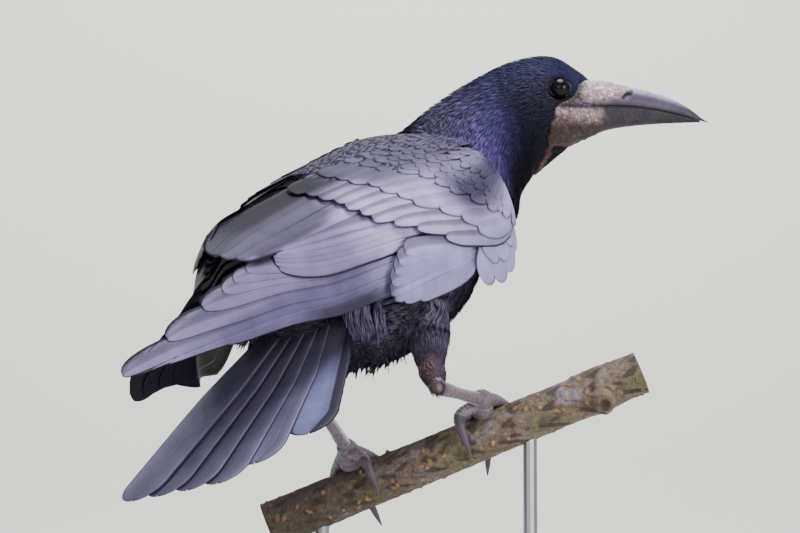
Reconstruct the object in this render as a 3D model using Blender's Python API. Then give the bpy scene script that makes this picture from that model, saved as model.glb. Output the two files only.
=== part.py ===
"""A rook standing crouched on a sloping cut branch, held by a plain display stand.

Life size, metres, +Z up.  The bird's body points along -Y with its breast raised,
and its head is turned to its right.  Trunk, wings and tail are laid out in the bird's
own frame: millimetres forward, to its right and towards its back from the middle of
the trunk.  The head has a frame of its own, and so has the branch.
"""
import math

import bpy
import bmesh
from mathutils import Vector

MM = 0.001

# ---- the bird's own frame
BODY_AT = Vector((11.0, 33.0, 305.0))       # middle of the trunk, mm above the floor
BODY_PITCH = math.radians(27.0)             # breast raised
FORWARD = Vector((0.0, -math.cos(BODY_PITCH), math.sin(BODY_PITCH)))
RIGHT = Vector((-1.0, 0.0, 0.0))
BACK = Vector((0.0, math.sin(BODY_PITCH), math.cos(BODY_PITCH)))

# ---- the head's frame: along the bill, up, and out of its right side
HEAD_AT = Vector((-54.5, -48.7, 396.3))     # between the eyes
HEAD_TURN = math.radians(58.0)              # to the bird's right
HEAD_ROLL = math.radians(8.0)
HEAD_ALONG = Vector((-math.sin(HEAD_TURN), -math.cos(HEAD_TURN), 0.0))
HEAD_SIDE = Vector((-math.cos(HEAD_TURN) * math.cos(HEAD_ROLL),
                    math.sin(HEAD_TURN) * math.cos(HEAD_ROLL), -math.sin(HEAD_ROLL)))
HEAD_UP = HEAD_SIDE.cross(HEAD_ALONG)

# ---- the branch's frame: along it, up from it, and out towards the bird's tail
PERCH_HEIGHT = 205.0
PERCH_TURN = math.radians(28.6)
PERCH_RISE = math.radians(22.2)
PERCH_DIR = Vector((-math.cos(PERCH_TURN) * math.cos(PERCH_RISE),
                    -math.sin(PERCH_TURN) * math.cos(PERCH_RISE), math.sin(PERCH_RISE)))
PERCH_OUT = Vector((0.0, 0.0, 1.0)).cross(PERCH_DIR).normalized() * -1.0
PERCH_UP = PERCH_OUT.cross(PERCH_DIR).normalized()
PERCH_ENDS = (-79.0, 122.0)                 # along the branch, from above the base's middle
PERCH_RADIUS = (11.5, 10.6)                 # thick end, thin end

GAP = 0.35                                  # between two nodes

# ---- the display stand
BASE_SIZE = (180.0, 200.0, 18.0)           # middle of its underside is the origin
BASE_CORNER = 24.0
BASE_RIM = 2.0                              # rounding of its upper rim
ROD_RADIUS = 3.5
ROD_SIDES = 12
COLLAR_RADIUS = 8.0                         # a low collar round each rod's foot
COLLAR_HIGH = 3.0
ROD_PLACES = (-50.0, 62.0)                  # along the branch


def body(forward, right, back):
    """A place in the bird's own frame, in metres."""
    return (BODY_AT + FORWARD * forward + RIGHT * right + BACK * back) * MM


def head(along, up, side):
    """A place in the head's frame, in metres."""
    return (HEAD_AT + HEAD_ALONG * along + HEAD_UP * up + HEAD_SIDE * side) * MM


def perch(along, up, out):
    """A place in the branch's frame, in metres."""
    start = Vector((0.0, 0.0, PERCH_HEIGHT))
    return (start + PERCH_DIR * along + PERCH_UP * up + PERCH_OUT * out) * MM


# ---------------------------------------------------------------- making
def finish(name, color, roughness=0.6, metallic=0.0):
    """A material for one sub-part."""
    made = bpy.data.materials.new(name)
    made.use_nodes = True
    shader = made.node_tree.nodes["Principled BSDF"]
    shader.inputs["Base Color"].default_value = (*color, 1.0)
    shader.inputs["Roughness"].default_value = roughness
    shader.inputs["Metallic"].default_value = metallic
    return made


def add_solid(name, verts, faces, material):
    """One closed solid as an object, with its faces turned outwards."""
    shape = bmesh.new()
    corners = [shape.verts.new(place) for place in verts]
    for face in faces:
        shape.faces.new([corners[i] for i in face])
    bmesh.ops.recalc_face_normals(shape, faces=shape.faces)
    mesh = bpy.data.meshes.new(name)
    shape.to_mesh(mesh)
    shape.free()
    mesh.shade_smooth()
    mesh.materials.append(material)
    solid = bpy.data.objects.new(name, mesh)
    bpy.context.collection.objects.link(solid)
    return solid


def loft(name, rings, material):
    """A solid through rings of equal count, closed by a fan at each end."""
    count = len(rings[0])
    verts = [place for ring in rings for place in ring]
    faces = []
    for row in range(len(rings) - 1):
        low, high = row * count, (row + 1) * count
        for k in range(count):
            nxt = (k + 1) % count
            faces.append((low + k, low + nxt, high + nxt, high + k))
    for start in (0, (len(rings) - 1) * count):
        verts.append(sum(verts[start:start + count], Vector()) / count)
        middle = len(verts) - 1
        for k in range(count):
            faces.append((start + k, start + (k + 1) % count, middle))
    return add_solid(name, verts, faces, material)


def cut_away(solid, cutter):
    """Takes the cutter's shape out of a solid."""
    cutter.hide_render = True
    cutter.display_type = "WIRE"
    cut = solid.modifiers.new("cut", "BOOLEAN")
    cut.operation = "DIFFERENCE"
    cut.solver = "EXACT"
    cut.object = cutter


def along_points(points, t):
    """Smooth value at t, 0 to 1, through evenly spaced points (tuples or Vectors)."""
    spans = len(points) - 1
    place = min(max(t, 0.0), 1.0) * spans
    i = min(int(place), spans - 1)
    u = place - i
    p1, p2 = points[i], points[i + 1]
    p0 = points[max(i - 1, 0)]
    p3 = points[min(i + 2, spans)]

    def mix(a, b, c, d):
        return 0.5 * (2 * b + (c - a) * u + (2 * a - 5 * b + 4 * c - d) * u * u
                      + (3 * b - a - 3 * c + d) * u ** 3)
    return [mix(a, b, c, d) for a, b, c, d in zip(p0, p1, p2, p3)]


def tube(name, path, radii, material, sides=10, steps=14, flat=1.0):
    """A tapered tube along a smooth path; flat under 1 squashes it upwards."""
    rings = []
    for row in range(steps + 1):
        t = row / steps
        here = Vector(along_points(path, t))
        ahead = Vector(along_points(path, min(t + 0.02, 1.0)))
        behind = Vector(along_points(path, max(t - 0.02, 0.0)))
        along = (ahead - behind).normalized()
        side = along.cross(Vector((0.0, 0.0, 1.0)))
        if side.length < 0.2:
            side = along.cross(PERCH_DIR)
        side.normalize()
        up = side.cross(along)
        radius = along_points([(r,) for r in radii], t)[0] * MM
        turn = [2 * math.pi * k / sides for k in range(sides)]
        rings.append([here + side * (radius * math.cos(a)) + up * (radius * flat * math.sin(a))
                      for a in turn])
    return loft(name, rings, material)


# ---------------------------------------------------------------- trunk, neck and head
# Each section: middle (three numbers in its frame), half width, reach up, reach down, and
# how it turns towards the head: degrees in the trunk, a share of the whole in the neck.
TRUNK_SECTIONS = (
    (-92, 0, 2, 9, 5, 8, 0), (-72, 0, 3, 21, 15, 22, 0), (-50, 0, 2, 34, 30, 36, 0),
    (-22, 0, 0, 43, 42, 49, 0), (10, 0, -1, 46, 47, 53, 0), (40, 1, -1, 46, 48, 50, 6),
    (66, 6, 3, 40, 43, 44, 20),
)
NECK_SECTIONS = ((-43, -37, -14, 33, 37, 38, 0.70), (-28, -21, -8, 25, 32, 32, 0.92))
NECK_LEAN = (40.0, 20.0)                    # how far the neck's sections tip, degrees
HEAD_SECTIONS = (
    (-15, -12.5, -2, 21, 30, 30), (-3, -7.5, 0, 18.5, 26, 29), (9, -7, 0, 15.0, 19, 20),
    (17.8, -8, 0, 10.6, 14.0, 14.2),
)
HEAD_LEAN = (8.0, -2.0, -3.0, 0.0)
RING_SIDES = 20
# Where each length starts and ends along the sections, and its rows of faces.
TRUNK_LENGTH = (0.0, 0.54, 14)
NECK_LENGTH = (0.549, 0.7215, 6)
HEAD_LENGTH = (0.7285, 1.0, 11)


def leaning(degrees):
    """The head's upward direction tipped back."""
    tip = math.radians(degrees)
    return HEAD_UP * math.cos(tip) - HEAD_ALONG * math.sin(tip)


def sections():
    """Trunk, neck and head sections as one list: middle, side, up, width, top, bottom."""
    found = []
    for forward, right, back, wide, top, low, turn in TRUNK_SECTIONS:
        swing = math.radians(turn)
        across = RIGHT * math.cos(swing) - FORWARD * math.sin(swing)
        found.append((body(forward, right, back) / MM, across, BACK, wide, top, low))
    for (along, up, side, wide, top, low, share), lean in zip(NECK_SECTIONS, NECK_LEAN):
        across = RIGHT.lerp(HEAD_SIDE, share)
        rise = BACK.lerp(leaning(lean), share)
        found.append((head(along, up, side) / MM, across, rise, wide, top, low))
    for (along, up, side, wide, top, low), lean in zip(HEAD_SECTIONS, HEAD_LEAN):
        found.append((head(along, up, side) / MM, HEAD_SIDE, leaning(lean), wide, top, low))
    return found


def body_ring(t, grow=0.0):
    """The ring of the bird's outline at t, 0 at the tail's root to 1 at the face."""
    rows = [(*mid, *side, *up, wide, top, low) for mid, side, up, wide, top, low in sections()]
    values = along_points(rows, t)
    middle, side, up = Vector(values[0:3]), Vector(values[3:6]), Vector(values[6:9])
    wide, top, low = (v + grow for v in values[9:12])
    side.normalize()
    up = (up - side * up.dot(side)).normalized()
    ring = []
    for k in range(RING_SIDES):
        a = 2 * math.pi * k / RING_SIDES
        reach = top if math.sin(a) > 0 else low
        ring.append((middle + side * (wide * math.cos(a)) + up * (reach * math.sin(a))) * MM)
    return ring


def body_length(name, start, end, rows, material, grow=0.0):
    """A length of the bird between two places along it."""
    step = (end - start) / rows
    return loft(name, [body_ring(start + step * k, grow) for k in range(rows + 1)], material)


def make_body():
    """Trunk, neck and head, with thin cuts between them."""
    plumage = finish("trunk_plumage", (0.055, 0.05, 0.075))
    body_length("trunk", *TRUNK_LENGTH, plumage)
    neck = body_length("neck", *NECK_LENGTH, finish("neck_plumage", (0.06, 0.04, 0.12)))
    body_length("head", *HEAD_LENGTH, finish("head_plumage", (0.02, 0.022, 0.05)))
    start, end, rows = TRUNK_LENGTH
    cut_away(neck, body_length("cutter_neck", start, end + 0.005, rows, plumage, GAP))


# ---------------------------------------------------------------- bill and eyes
# Along the bill from the face: top line, gape, under line and half width.
BILL_START = 18.2
BILL_LONG = 59.0
UPPER_TOP = (6.3, 5.0, 3.1, 0.9, -2.4, -7.6, -14.6)
GAPE = (-6.6, -6.4, -6.7, -7.9, -9.7, -12.2, -15.0)
UPPER_WIDE = (8.6, 7.8, 6.7, 5.6, 4.3, 2.9, 0.5)
LOWER_LONG = 55.0
LOWER_LINE = (-21.3, -18.7, -17.2, -16.3, -15.7, -15.3, -15.0)
LOWER_WIDE = (8.2, 7.2, 6.0, 4.9, 3.7, 2.3, 0.6)
BILL_SIDES = 8
BILL_ROWS = 10
EYE_AT = (1.5, 1.2, 12.3)
EYE_RADIUS = 5.6


def value(numbers, t):
    """Smooth value at t through evenly spaced numbers."""
    return along_points([(n,) for n in numbers], t)[0]


def bill_half(name, length, top_line, low_line, widths, material, ridge):
    """One half of the bill: an arched section, flat along the gape."""
    rings = []
    for row in range(BILL_ROWS + 1):
        t = row / BILL_ROWS
        along = BILL_START + length * t
        gape_at = length * t / BILL_LONG
        top = value(top_line, t if ridge else gape_at) - (0.0 if ridge else GAP)
        low = value(low_line, gape_at if ridge else t)
        wide = value(widths, t)
        if top - low < 0.5:
            low = top - 0.5
        ring = []
        for k in range(BILL_SIDES + 1):
            a = math.pi * k / BILL_SIDES
            bulge = math.sin(a) ** 0.75 if 0 < k < BILL_SIDES else 0.0
            if ridge:
                up = low + (top - low) * bulge
            else:
                up = top - (top - low) * bulge
            ring.append(head(along, up, wide * math.cos(a)))
        rings.append(ring)
    return loft(name, rings, material)


def ball(name, place, radius, material):
    """A small round solid."""
    shape = bmesh.new()
    bmesh.ops.create_uvsphere(shape, u_segments=12, v_segments=8, radius=radius * MM)
    bmesh.ops.translate(shape, verts=shape.verts, vec=place)
    mesh = bpy.data.meshes.new(name)
    shape.to_mesh(mesh)
    shape.free()
    mesh.shade_smooth()
    mesh.materials.append(material)
    made = bpy.data.objects.new(name, mesh)
    bpy.context.collection.objects.link(made)
    return made


def make_face():
    """Bill and eyes; the head is cut back round each eye."""
    horn = finish("bill_horn", (0.16, 0.14, 0.18), 0.35)
    bill_half("bill_upper", BILL_LONG, UPPER_TOP, GAPE, UPPER_WIDE, horn, True)
    bill_half("bill_lower", LOWER_LONG, GAPE, LOWER_LINE, LOWER_WIDE, horn, False)
    dark = finish("eye_dark", (0.01, 0.008, 0.008), 0.08)
    for name, side in (("eye_right", 1.0), ("eye_left", -1.0)):
        place = head(EYE_AT[0], EYE_AT[1], EYE_AT[2] * side)
        ball(name, place, EYE_RADIUS, dark)
        socket = ball("cutter_" + name, place, EYE_RADIUS + GAP, dark)
        cut_away(bpy.data.objects["head"], socket)


# ---------------------------------------------------------------- folded wings
# Stations from the shoulder to the wing's point, evenly spaced towards the tail:
# inner edge (right, back), lower edge (right, back), and how far it bulges out.
WING_FRONT = 75.0
WING_BACK = -222.0
WING_STATIONS = (
    (26, 39.5, 54, 1, 12), (12, 47.5, 58.5, -24, 16.5), (8, 51, 57, -20, 18), (7, 53, 53.5, -8.5, 15),
    (7, 54, 50, -2.5, 12), (7, 54.5, 45, 2, 9.5), (8, 54.5, 39.5, 10.5, 6.5),
    (9, 48, 32.5, 15.5, 4), (8, 38, 22, 21.5, 2), (6, 30, 10, 24, 0.5),
)
# The left wing lies a little forward and is spread wider, and its point crosses below the
# right wing's: at each forward place, how far it is carried to the right, and how far
# down its lower edge is.
LEFT_FORWARD = 6.0
LEFT_CROSSING = ((-222, 13), (-190, 21), (-152, 23), (-120, 8), (-60, 0))
LEFT_DROP = ((-222, 18), (-190, 18), (-152, 19), (-98, 12), (-64, 0))


def wing_point(forward, s, lift, side):
    """A place on the folded wing: s runs from its inner edge, 0, to its lower edge, 1."""
    t = (WING_FRONT - forward) / (WING_FRONT - WING_BACK)
    in_r, in_b, low_r, low_b, bulge = along_points(WING_STATIONS, t)
    across, down = low_r - in_r, low_b - in_b
    span = math.hypot(across, down)
    out = (-down / span, across / span)
    push = 4 * bulge * s * (1 - s) + lift
    right = in_r + across * s + out[0] * push
    back = in_b + down * s + out[1] * push
    if side < 0:
        right -= table(LEFT_CROSSING, forward)
        back -= table(LEFT_DROP, forward) * s
        forward += LEFT_FORWARD
    return body(forward, right * side, back)


def table(pairs, x):
    """Straight-line value at x through (x, value) pairs in rising order."""
    if x <= pairs[0][0]:
        return pairs[0][1]
    for (x0, v0), (x1, v1) in zip(pairs, pairs[1:]):
        if x <= x1:
            return v0 + (v1 - v0) * (x - x0) / (x1 - x0)
    return pairs[-1][1]


# Each group of feathers: front and rear ends across it (0 inner to 1 lower), inner and
# lower edges along it (by forward place), how deep it lies and how high it stands.
SEAM = 0.012
COVERT_REAR = ((0.0, -46), (0.3, -46), (0.52, -36), (0.64, -20), (0.72, -8), (0.8, 2))
GROUP_FRONT = tuple((s, place - 2.0) for s, place in COVERT_REAR)
TERTIAL_EDGE = ((-138, 0.20), (-124, 0.28), (-112, 0.33), (-87, 0.36), (-46, 0.43))
SECONDARY_EDGE = ((-96, 0.60), (-88, 0.62), (-45, 0.72), (-20, 0.78), (2, 0.80))
WING_GROUPS = {
    "coverts": dict(front=((0, 60), (0.24, 70), (0.48, 73), (0.8, 69)), rear=COVERT_REAR,
                    inner=((0, 0.0),), lower=((0, 0.80),), deep=-1.2, high=3.6, rows=8),
    "tertials": dict(front=GROUP_FRONT, rear=((0, -126), (0.1, -138), (0.18, -136), (0.3, -122)),
                     inner=((0, 0.0),), lower=TERTIAL_EDGE, deep=-0.8, high=2.6, rows=8),
    "secondaries": dict(front=GROUP_FRONT, rear=((0.3, -103), (0.5, -100), (0.62, -86)),
                        inner=tuple((x, v + SEAM) for x, v in TERTIAL_EDGE),
                        lower=SECONDARY_EDGE, deep=-1.5, high=1.6, rows=8),
    "primaries": dict(front=((0, -6), (1, -6)), rear=((0, -211), (0.4, -219), (1, -213)),
                      inner=((-222, 0.10), (-190, 0.50), (-186, 0.42), (-162, 0.46),
                             (-158, 0.36), (-136, 0.36), (-132, 0.34), (-111, 0.40),
                             (-105, 0.60), (-88, 0.64), (-45, 0.74), (-6, 0.81)),
                      lower=((-64, 1.0), (-59, 0.86), (-6, 0.83)), deep=-1.4, high=0.6, rows=18),
    "bend": dict(front=((0.8, 69), (1, 50)),
                 rear=((0.8, 3), (0.86, -50), (0.94, -57), (1, -12)),
                 inner=((-60, 0.875), (-6, 0.845), (2, 0.812)), lower=((0, 1.0),),
                 deep=-3.5, high=3.4, rows=10),
}


def group_end(edge, inner, lower, b):
    """Forward place where the line b of a group meets one of its ends."""
    forward = edge[0][1]
    for _ in range(12):
        s = table(inner, forward) + (table(lower, forward) - table(inner, forward)) * b
        forward += (table(edge, s) - forward) * 0.6
    return forward


def wing_group(name, side, front, rear, inner, lower, deep, high, rows, columns=4):
    """One group of flight feathers or coverts as a curved slab."""
    tops, lows = [], []
    for row in range(rows + 1):
        for column in range(columns + 1):
            b = column / columns
            start = group_end(front, inner, lower, b)
            end = group_end(rear, inner, lower, b)
            forward = start + (end - start) * row / rows
            s = table(inner, forward) + (table(lower, forward) - table(inner, forward)) * b
            tops.append(wing_point(forward, s, high, side))
            lows.append(wing_point(forward, s, deep, side))
    wide = columns + 1
    count = len(tops)
    faces = []
    for row in range(rows):
        for column in range(columns):
            i = row * wide + column
            quad = (i, i + 1, i + wide + 1, i + wide)
            faces.append(quad)
            faces.append(tuple(count + k for k in reversed(quad)))
    rim = [k for k in range(wide)]
    rim += [row * wide + columns for row in range(1, rows + 1)]
    rim += [rows * wide + k for k in range(columns - 1, -1, -1)]
    rim += [row * wide for row in range(rows - 1, 0, -1)]
    for a, b in zip(rim, rim[1:] + rim[:1]):
        faces.append((a, b, count + b, count + a))
    return add_solid(name, tops + lows, faces, finish(name, (0.13, 0.12, 0.17), 0.5))


def make_wings():
    """Both folded wings, group by group."""
    for label, side in (("right", 1.0), ("left", -1.0)):
        for group, shape in WING_GROUPS.items():
            slab = wing_group(f"wing_{label}_{group}", side, **shape)
            if group == "coverts" and side > 0:
                for place, length in (("trunk", TRUNK_LENGTH), ("neck", NECK_LENGTH)):
                    cut_away(slab, body_length(f"cutter_wing_{place}", *length,
                                               slab.data.materials[0], GAP))


# ---------------------------------------------------------------- tail
TAIL_PIVOT = (-10.0, 0.0)
TAIL_TOP = -1.0                             # back place of the top feather's root
TAIL_DROOP = 0.24
TAIL_TILT = 0.10                            # its right side is held a little higher
FEATHER_START = 50.0                        # from the pivot
FEATHER_THICK = 0.55
LAYER = 0.92
SLOT_START = 42.0                           # the slot in the trunk that holds them
SLOT_LONG = 80.0
SLOT_WIDE = 60.0
SLOT_MARGIN = 0.45
# Right and left feathers from the middle out: swing in degrees, layer, length, half width.
TAIL_RIGHT = ((-4.6, 0, 200, 12.5), (-1.0, 2, 196, 12.5), (3.1, 4, 192, 12.5),
              (7.3, 6, 188, 12.5), (12.0, 7, 176, 12.5), (20.0, 8, 160, 13.0))
TAIL_LEFT = ((-5.0, 1, 197, 12.5), (-5.6, 3, 193, 12.5), (-6.2, 5, 188, 12.5),
             (-6.8, 7, 182, 12.5), (-7.4, 8, 174, 12.0), (-8.0, 9, 164, 11.5))


def tail_point(reach, swing, across, lift):
    """A place on the fanned tail: reach from its pivot, across the feather."""
    a = math.radians(swing)
    forward = TAIL_PIVOT[0] - reach * math.cos(a) + across * math.sin(a)
    right = TAIL_PIVOT[1] + reach * math.sin(a) + across * math.cos(a)
    back = TAIL_TOP - TAIL_DROOP * (reach - FEATHER_START) + TAIL_TILT * right + lift
    return body(forward, right, back)


def tail_feather(name, swing, layer, length, half, material):
    """One tail feather: a thin blade with a round tip."""
    rows, columns = 7, 2
    tops, lows = [], []
    for row in range(rows + 1):
        t = row / rows
        reach = FEATHER_START + (length - FEATHER_START) * math.sin(t * math.pi / 2)
        grown = 0.45 + 0.55 * min(t * 2.2, 1.0)
        tip = (reach - (length - half * 1.1)) / (half * 1.1)
        wide = half * grown * (math.sqrt(max(1 - tip * tip, 0.02)) if tip > 0 else 1.0)
        for column in range(columns + 1):
            across = wide * (column / columns * 2 - 1)
            lift = -layer * LAYER
            tops.append(tail_point(reach, swing, across, lift))
            lows.append(tail_point(reach, swing, across, lift - FEATHER_THICK))
    wide = columns + 1
    count = len(tops)
    faces = []
    for row in range(rows):
        for column in range(columns):
            i = row * wide + column
            faces.append((i, i + 1, i + wide + 1, i + wide))
            faces.append((count + i, count + i + wide, count + i + wide + 1, count + i + 1))
    rim = [k for k in range(wide)]
    rim += [row * wide + columns for row in range(1, rows + 1)]
    rim += [rows * wide + k for k in range(columns - 1, -1, -1)]
    rim += [row * wide for row in range(rows - 1, 0, -1)]
    for a, b in zip(rim, rim[1:] + rim[:1]):
        faces.append((a, b, count + b, count + a))
    return add_solid(name, tops + lows, faces, material)


def make_tail():
    """Twelve feathers in layers, and the slot they leave the trunk through."""
    slate = finish("tail_slate", (0.06, 0.055, 0.09), 0.5)
    for label, feathers in (("right", TAIL_RIGHT), ("left", TAIL_LEFT)):
        for number, feather in enumerate(feathers, 1):
            tail_feather(f"tail_feather_{label}_{number}", *feather, slate)
    deepest = max(feather[1] for feather in TAIL_RIGHT + TAIL_LEFT)
    low = -deepest * LAYER - FEATHER_THICK - SLOT_MARGIN
    rings = []
    for reach in (SLOT_START, SLOT_START + SLOT_LONG / 2, SLOT_START + SLOT_LONG):
        across = [SLOT_WIDE * (k / 5 - 1) for k in range(11)]
        upper = [tail_point(reach, 0.0, x, SLOT_MARGIN) for x in across]
        rings.append(upper + [tail_point(reach, 0.0, x, low) for x in reversed(across)])
    slot = loft("cutter_tail_slot", rings, slate)
    cut_away(bpy.data.objects["trunk"], slot)


# ---------------------------------------------------------------- legs
ANKLES = {"right": Vector((-44.8, 52.2, 237.0)), "left": Vector((20.5, 71.0, 243.0))}
# Thighs: hip, two places down the shank, all in the bird's own frame.
THIGHS = {"right": ((-2, 30, -24), (-10, 34, -38), (-25, 41, -47)),
          "left": ((-4, -26, -26), (-22, -23, -40), (-42, -16, -42))}
THIGH_RADII = (13.0, 10.5, 6.8, 6.0, 4.0)
TARSUS_RADII = (2.6, 3.7, 2.5, 3.0)
# Feet, on the branch: along it, turned from its top towards the tail (degrees), and the
# distance from its middle.
FOOT_AT = {"right": (43.0, 34.0, 20.0), "left": (-28.0, 24.0, 21.5)}
TOES = {
    "right": {
        "hallux": ((43.0, 34, 20.0), (35.5, 42, 20.2), (29.0, 54, 19.5), (28.4, 68, 17.2)),
        "inner": ((42.0, 30, 20.0), (38.5, 2, 17.4), (35.0, -40, 14.8), (33.0, -70, 14.6)),
        "middle": ((44.0, 30, 20.0), (46.5, 0, 17.8), (45.0, -42, 15.6), (41.0, -80, 15.2)),
        "outer": ((44.5, 32, 19.5), (48.5, 6, 16.0), (52.5, -38, 14.3), (54.5, -70, 14.1)),
    },
    "left": {
        "hallux": ((-28.0, 24, 21.5), (-25.2, 40, 21.0), (-22.6, 52, 19.8), (-21.6, 66, 17.4)),
        "inner": ((-27.0, 22, 21.5), (-22.5, 0, 17.6), (-18.0, -40, 14.8), (-16.5, -70, 14.6)),
        "middle": ((-28.5, 22, 21.5), (-28.0, 0, 18.0), (-28.5, -42, 15.6), (-29.0, -80, 15.2)),
        "outer": ((-29.0, 24, 21.5), (-34.0, 2, 17.4), (-39.0, -40, 14.9), (-41.0, -72, 14.6)),
    },
}
TOE_RADII = (3.0, 2.6, 2.7, 2.3)
CLAWS = {
    "right": {
        "hallux": ((28.4, 72, 16.8), (28.0, 96, 15.6), (27.6, 126, 12.7)),
        "inner": ((32.8, -75, 14.5), (32.0, -98, 14.4), (32.0, -122, 12.7)),
        "middle": ((40.2, -84, 15.4), (36.5, -108, 18.2), (31.5, -131, 25.5)),
        "outer": ((54.7, -76, 14.0), (55.2, -98, 13.9), (55.0, -122, 12.2)),
    },
    "left": {
        "hallux": ((-21.5, 70, 17.0), (-21.4, 95, 15.6), (-21.9, 124, 12.8)),
        "inner": ((-16.4, -75, 14.5), (-16.0, -98, 14.4), (-16.4, -122, 12.7)),
        "middle": ((-29.0, -84, 15.4), (-28.4, -110, 19.5), (-27.4, -131, 29.5)),
        "outer": ((-41.2, -77, 14.5), (-41.8, -98, 14.4), (-41.6, -122, 12.7)),
    },
}
CLAW_RADII = (2.05, 1.5, 0.4)


def wrapped(along, turn, reach):
    """A place round the branch, in metres."""
    a = math.radians(turn)
    return perch(along, reach * math.cos(a), reach * math.sin(a))


def join(solid, others):
    """Grows a solid by others that cross it."""
    for other in others:
        other.hide_render = True
        other.display_type = "WIRE"
        grow = solid.modifiers.new("join", "BOOLEAN")
        grow.operation = "UNION"
        grow.solver = "EXACT"
        grow.object = other


def make_leg(side):
    """Feathered thigh, bare tarsus, a foot of four joined toes, and four claws."""
    plumage = finish(f"thigh_plumage_{side}", (0.05, 0.035, 0.035))
    scaly = finish(f"leg_scales_{side}", (0.14, 0.12, 0.15), 0.45)
    horn = finish(f"claw_horn_{side}", (0.05, 0.045, 0.06), 0.35)
    ankle = ANKLES[side] * MM
    hip = [body(*place) for place in THIGHS[side]]
    foot = wrapped(*FOOT_AT[side])
    above = hip[-1].lerp(ankle, 0.94)
    thigh = tube(f"thigh_{side}", [*hip, hip[-1].lerp(ankle, 0.5), above], THIGH_RADII,
                 plumage, sides=10, steps=9)
    inner = body_length(f"cutter_thigh_{side}", *TRUNK_LENGTH, plumage, GAP)
    cut_away(thigh, inner)
    lower = (foot - ankle).normalized()
    end = foot - lower * (5.2 * MM)
    line = [ankle - lower * (2.0 * MM), ankle.lerp(end, 0.12), ankle.lerp(end, 0.5), end]
    tube(f"tarsus_{side}", line, TARSUS_RADII, scaly, sides=8, steps=7)
    cut_away(thigh, tube(f"cutter_tarsus_{side}", line, [r + GAP for r in TARSUS_RADII],
                         scaly, sides=8, steps=7))
    pad = ball(f"foot_{side}", foot, 3.9, scaly)
    toes = []
    for toe, path in TOES[side].items():
        toes.append(tube(f"toe_{side}_{toe}", [wrapped(*place) for place in path],
                         TOE_RADII, scaly, sides=7, steps=6))
    join(pad, toes)
    for toe, path in CLAWS[side].items():
        tube(f"claw_{side}_{toe}", [wrapped(*place) for place in path], CLAW_RADII, horn,
             sides=6, steps=5)


# ---------------------------------------------------------------- branch and stand
KNOT_AT = 98.0                              # a sawn side shoot, along the branch
KNOT_SIDE = 128.0                           # turned down from the top, tail side
KNOT_RADIUS = 6.0
KNOT_LONG = 16.0
KNOT_SWELL = 0.8
KNOT_REACH = 9.0
PERCH_ROWS = 14
PERCH_SIDES = 16


def perch_radius(along):
    """The branch thins upwards, and swells a little where the side shoot was."""
    share = (along - PERCH_ENDS[0]) / (PERCH_ENDS[1] - PERCH_ENDS[0])
    plain = PERCH_RADIUS[0] + (PERCH_RADIUS[1] - PERCH_RADIUS[0]) * share
    return plain + KNOT_SWELL * math.exp(-((along - KNOT_AT) / KNOT_REACH) ** 2)


def make_perch(name="perch", grow=0.0):
    """A short cut length of branch with the stub of a side shoot."""
    bark = finish("perch_bark", (0.16, 0.12, 0.085), 0.85)
    rings = []
    for row in range(PERCH_ROWS + 1):
        along = PERCH_ENDS[0] + (PERCH_ENDS[1] - PERCH_ENDS[0]) * row / PERCH_ROWS
        reach = perch_radius(along) + grow
        rings.append([wrapped(along, 360.0 * k / PERCH_SIDES, reach)
                      for k in range(PERCH_SIDES)])
    branch = loft(name, rings, bark)
    knot = tube(name + "_knot", [wrapped(KNOT_AT, KNOT_SIDE, KNOT_LONG / 4),
                                 wrapped(KNOT_AT + 1.5, KNOT_SIDE, KNOT_LONG)],
                (KNOT_RADIUS, KNOT_RADIUS - 1.0), bark, sides=8, steps=2)
    join(branch, [knot])
    return branch


def make_stand():
    """A flat base with rounded corners, and two short rods up to the branch."""
    wood = finish("stand_wood", (0.12, 0.06, 0.03), 0.4)
    steel = finish("stand_steel", (0.5, 0.5, 0.5), 0.3, 1.0)
    wide, deep, high = (size * MM for size in BASE_SIZE)
    shape = bmesh.new()
    bmesh.ops.create_cube(shape, size=1.0)
    bmesh.ops.scale(shape, verts=shape.verts, vec=(wide, deep, high))
    bmesh.ops.translate(shape, verts=shape.verts, vec=(0.0, 0.0, high / 2))
    uprights = [e for e in shape.edges if abs(e.verts[0].co.z - e.verts[1].co.z) > high / 2]
    bmesh.ops.bevel(shape, geom=uprights, offset=BASE_CORNER * MM, segments=6, profile=0.5,
                    affect="EDGES")
    rims = [e for e in shape.edges if min(v.co.z for v in e.verts) > high * 0.99]
    bmesh.ops.bevel(shape, geom=rims, offset=BASE_RIM * MM, segments=2, profile=0.5,
                    affect="EDGES")
    mesh = bpy.data.meshes.new("stand_base")
    shape.to_mesh(mesh)
    shape.free()
    mesh.materials.append(wood)
    base = bpy.data.objects.new("stand_base", mesh)
    bpy.context.collection.objects.link(base)
    for number, along in enumerate(ROD_PLACES, 1):
        foot = perch(along, 0.0, 0.0)
        floor = high + GAP * MM
        profile = ((0.0, COLLAR_RADIUS), (COLLAR_HIGH - 1.0, COLLAR_RADIUS),
                   (COLLAR_HIGH, ROD_RADIUS), (COLLAR_HIGH + 1.0, ROD_RADIUS))
        rings = []
        for up, radius in (*profile, (None, ROD_RADIUS)):
            level = foot.z if up is None else floor + up * MM
            rings.append([Vector((foot.x + radius * MM * math.cos(a),
                                  foot.y + radius * MM * math.sin(a), level))
                          for a in (2 * math.pi * k / ROD_SIDES for k in range(ROD_SIDES))])
        rod = loft(f"stand_rod_{number}", rings, steel)
        cut_away(rod, make_perch(f"cutter_rod_{number}", GAP))


# ---------------------------------------------------------------- start
def clear():
    """An empty scene to build in."""
    for item in list(bpy.data.objects):
        bpy.data.objects.remove(item, do_unlink=True)


clear()
make_body()
make_face()
make_wings()
make_tail()
make_leg("right")
make_leg("left")
make_perch()
make_stand()
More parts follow.
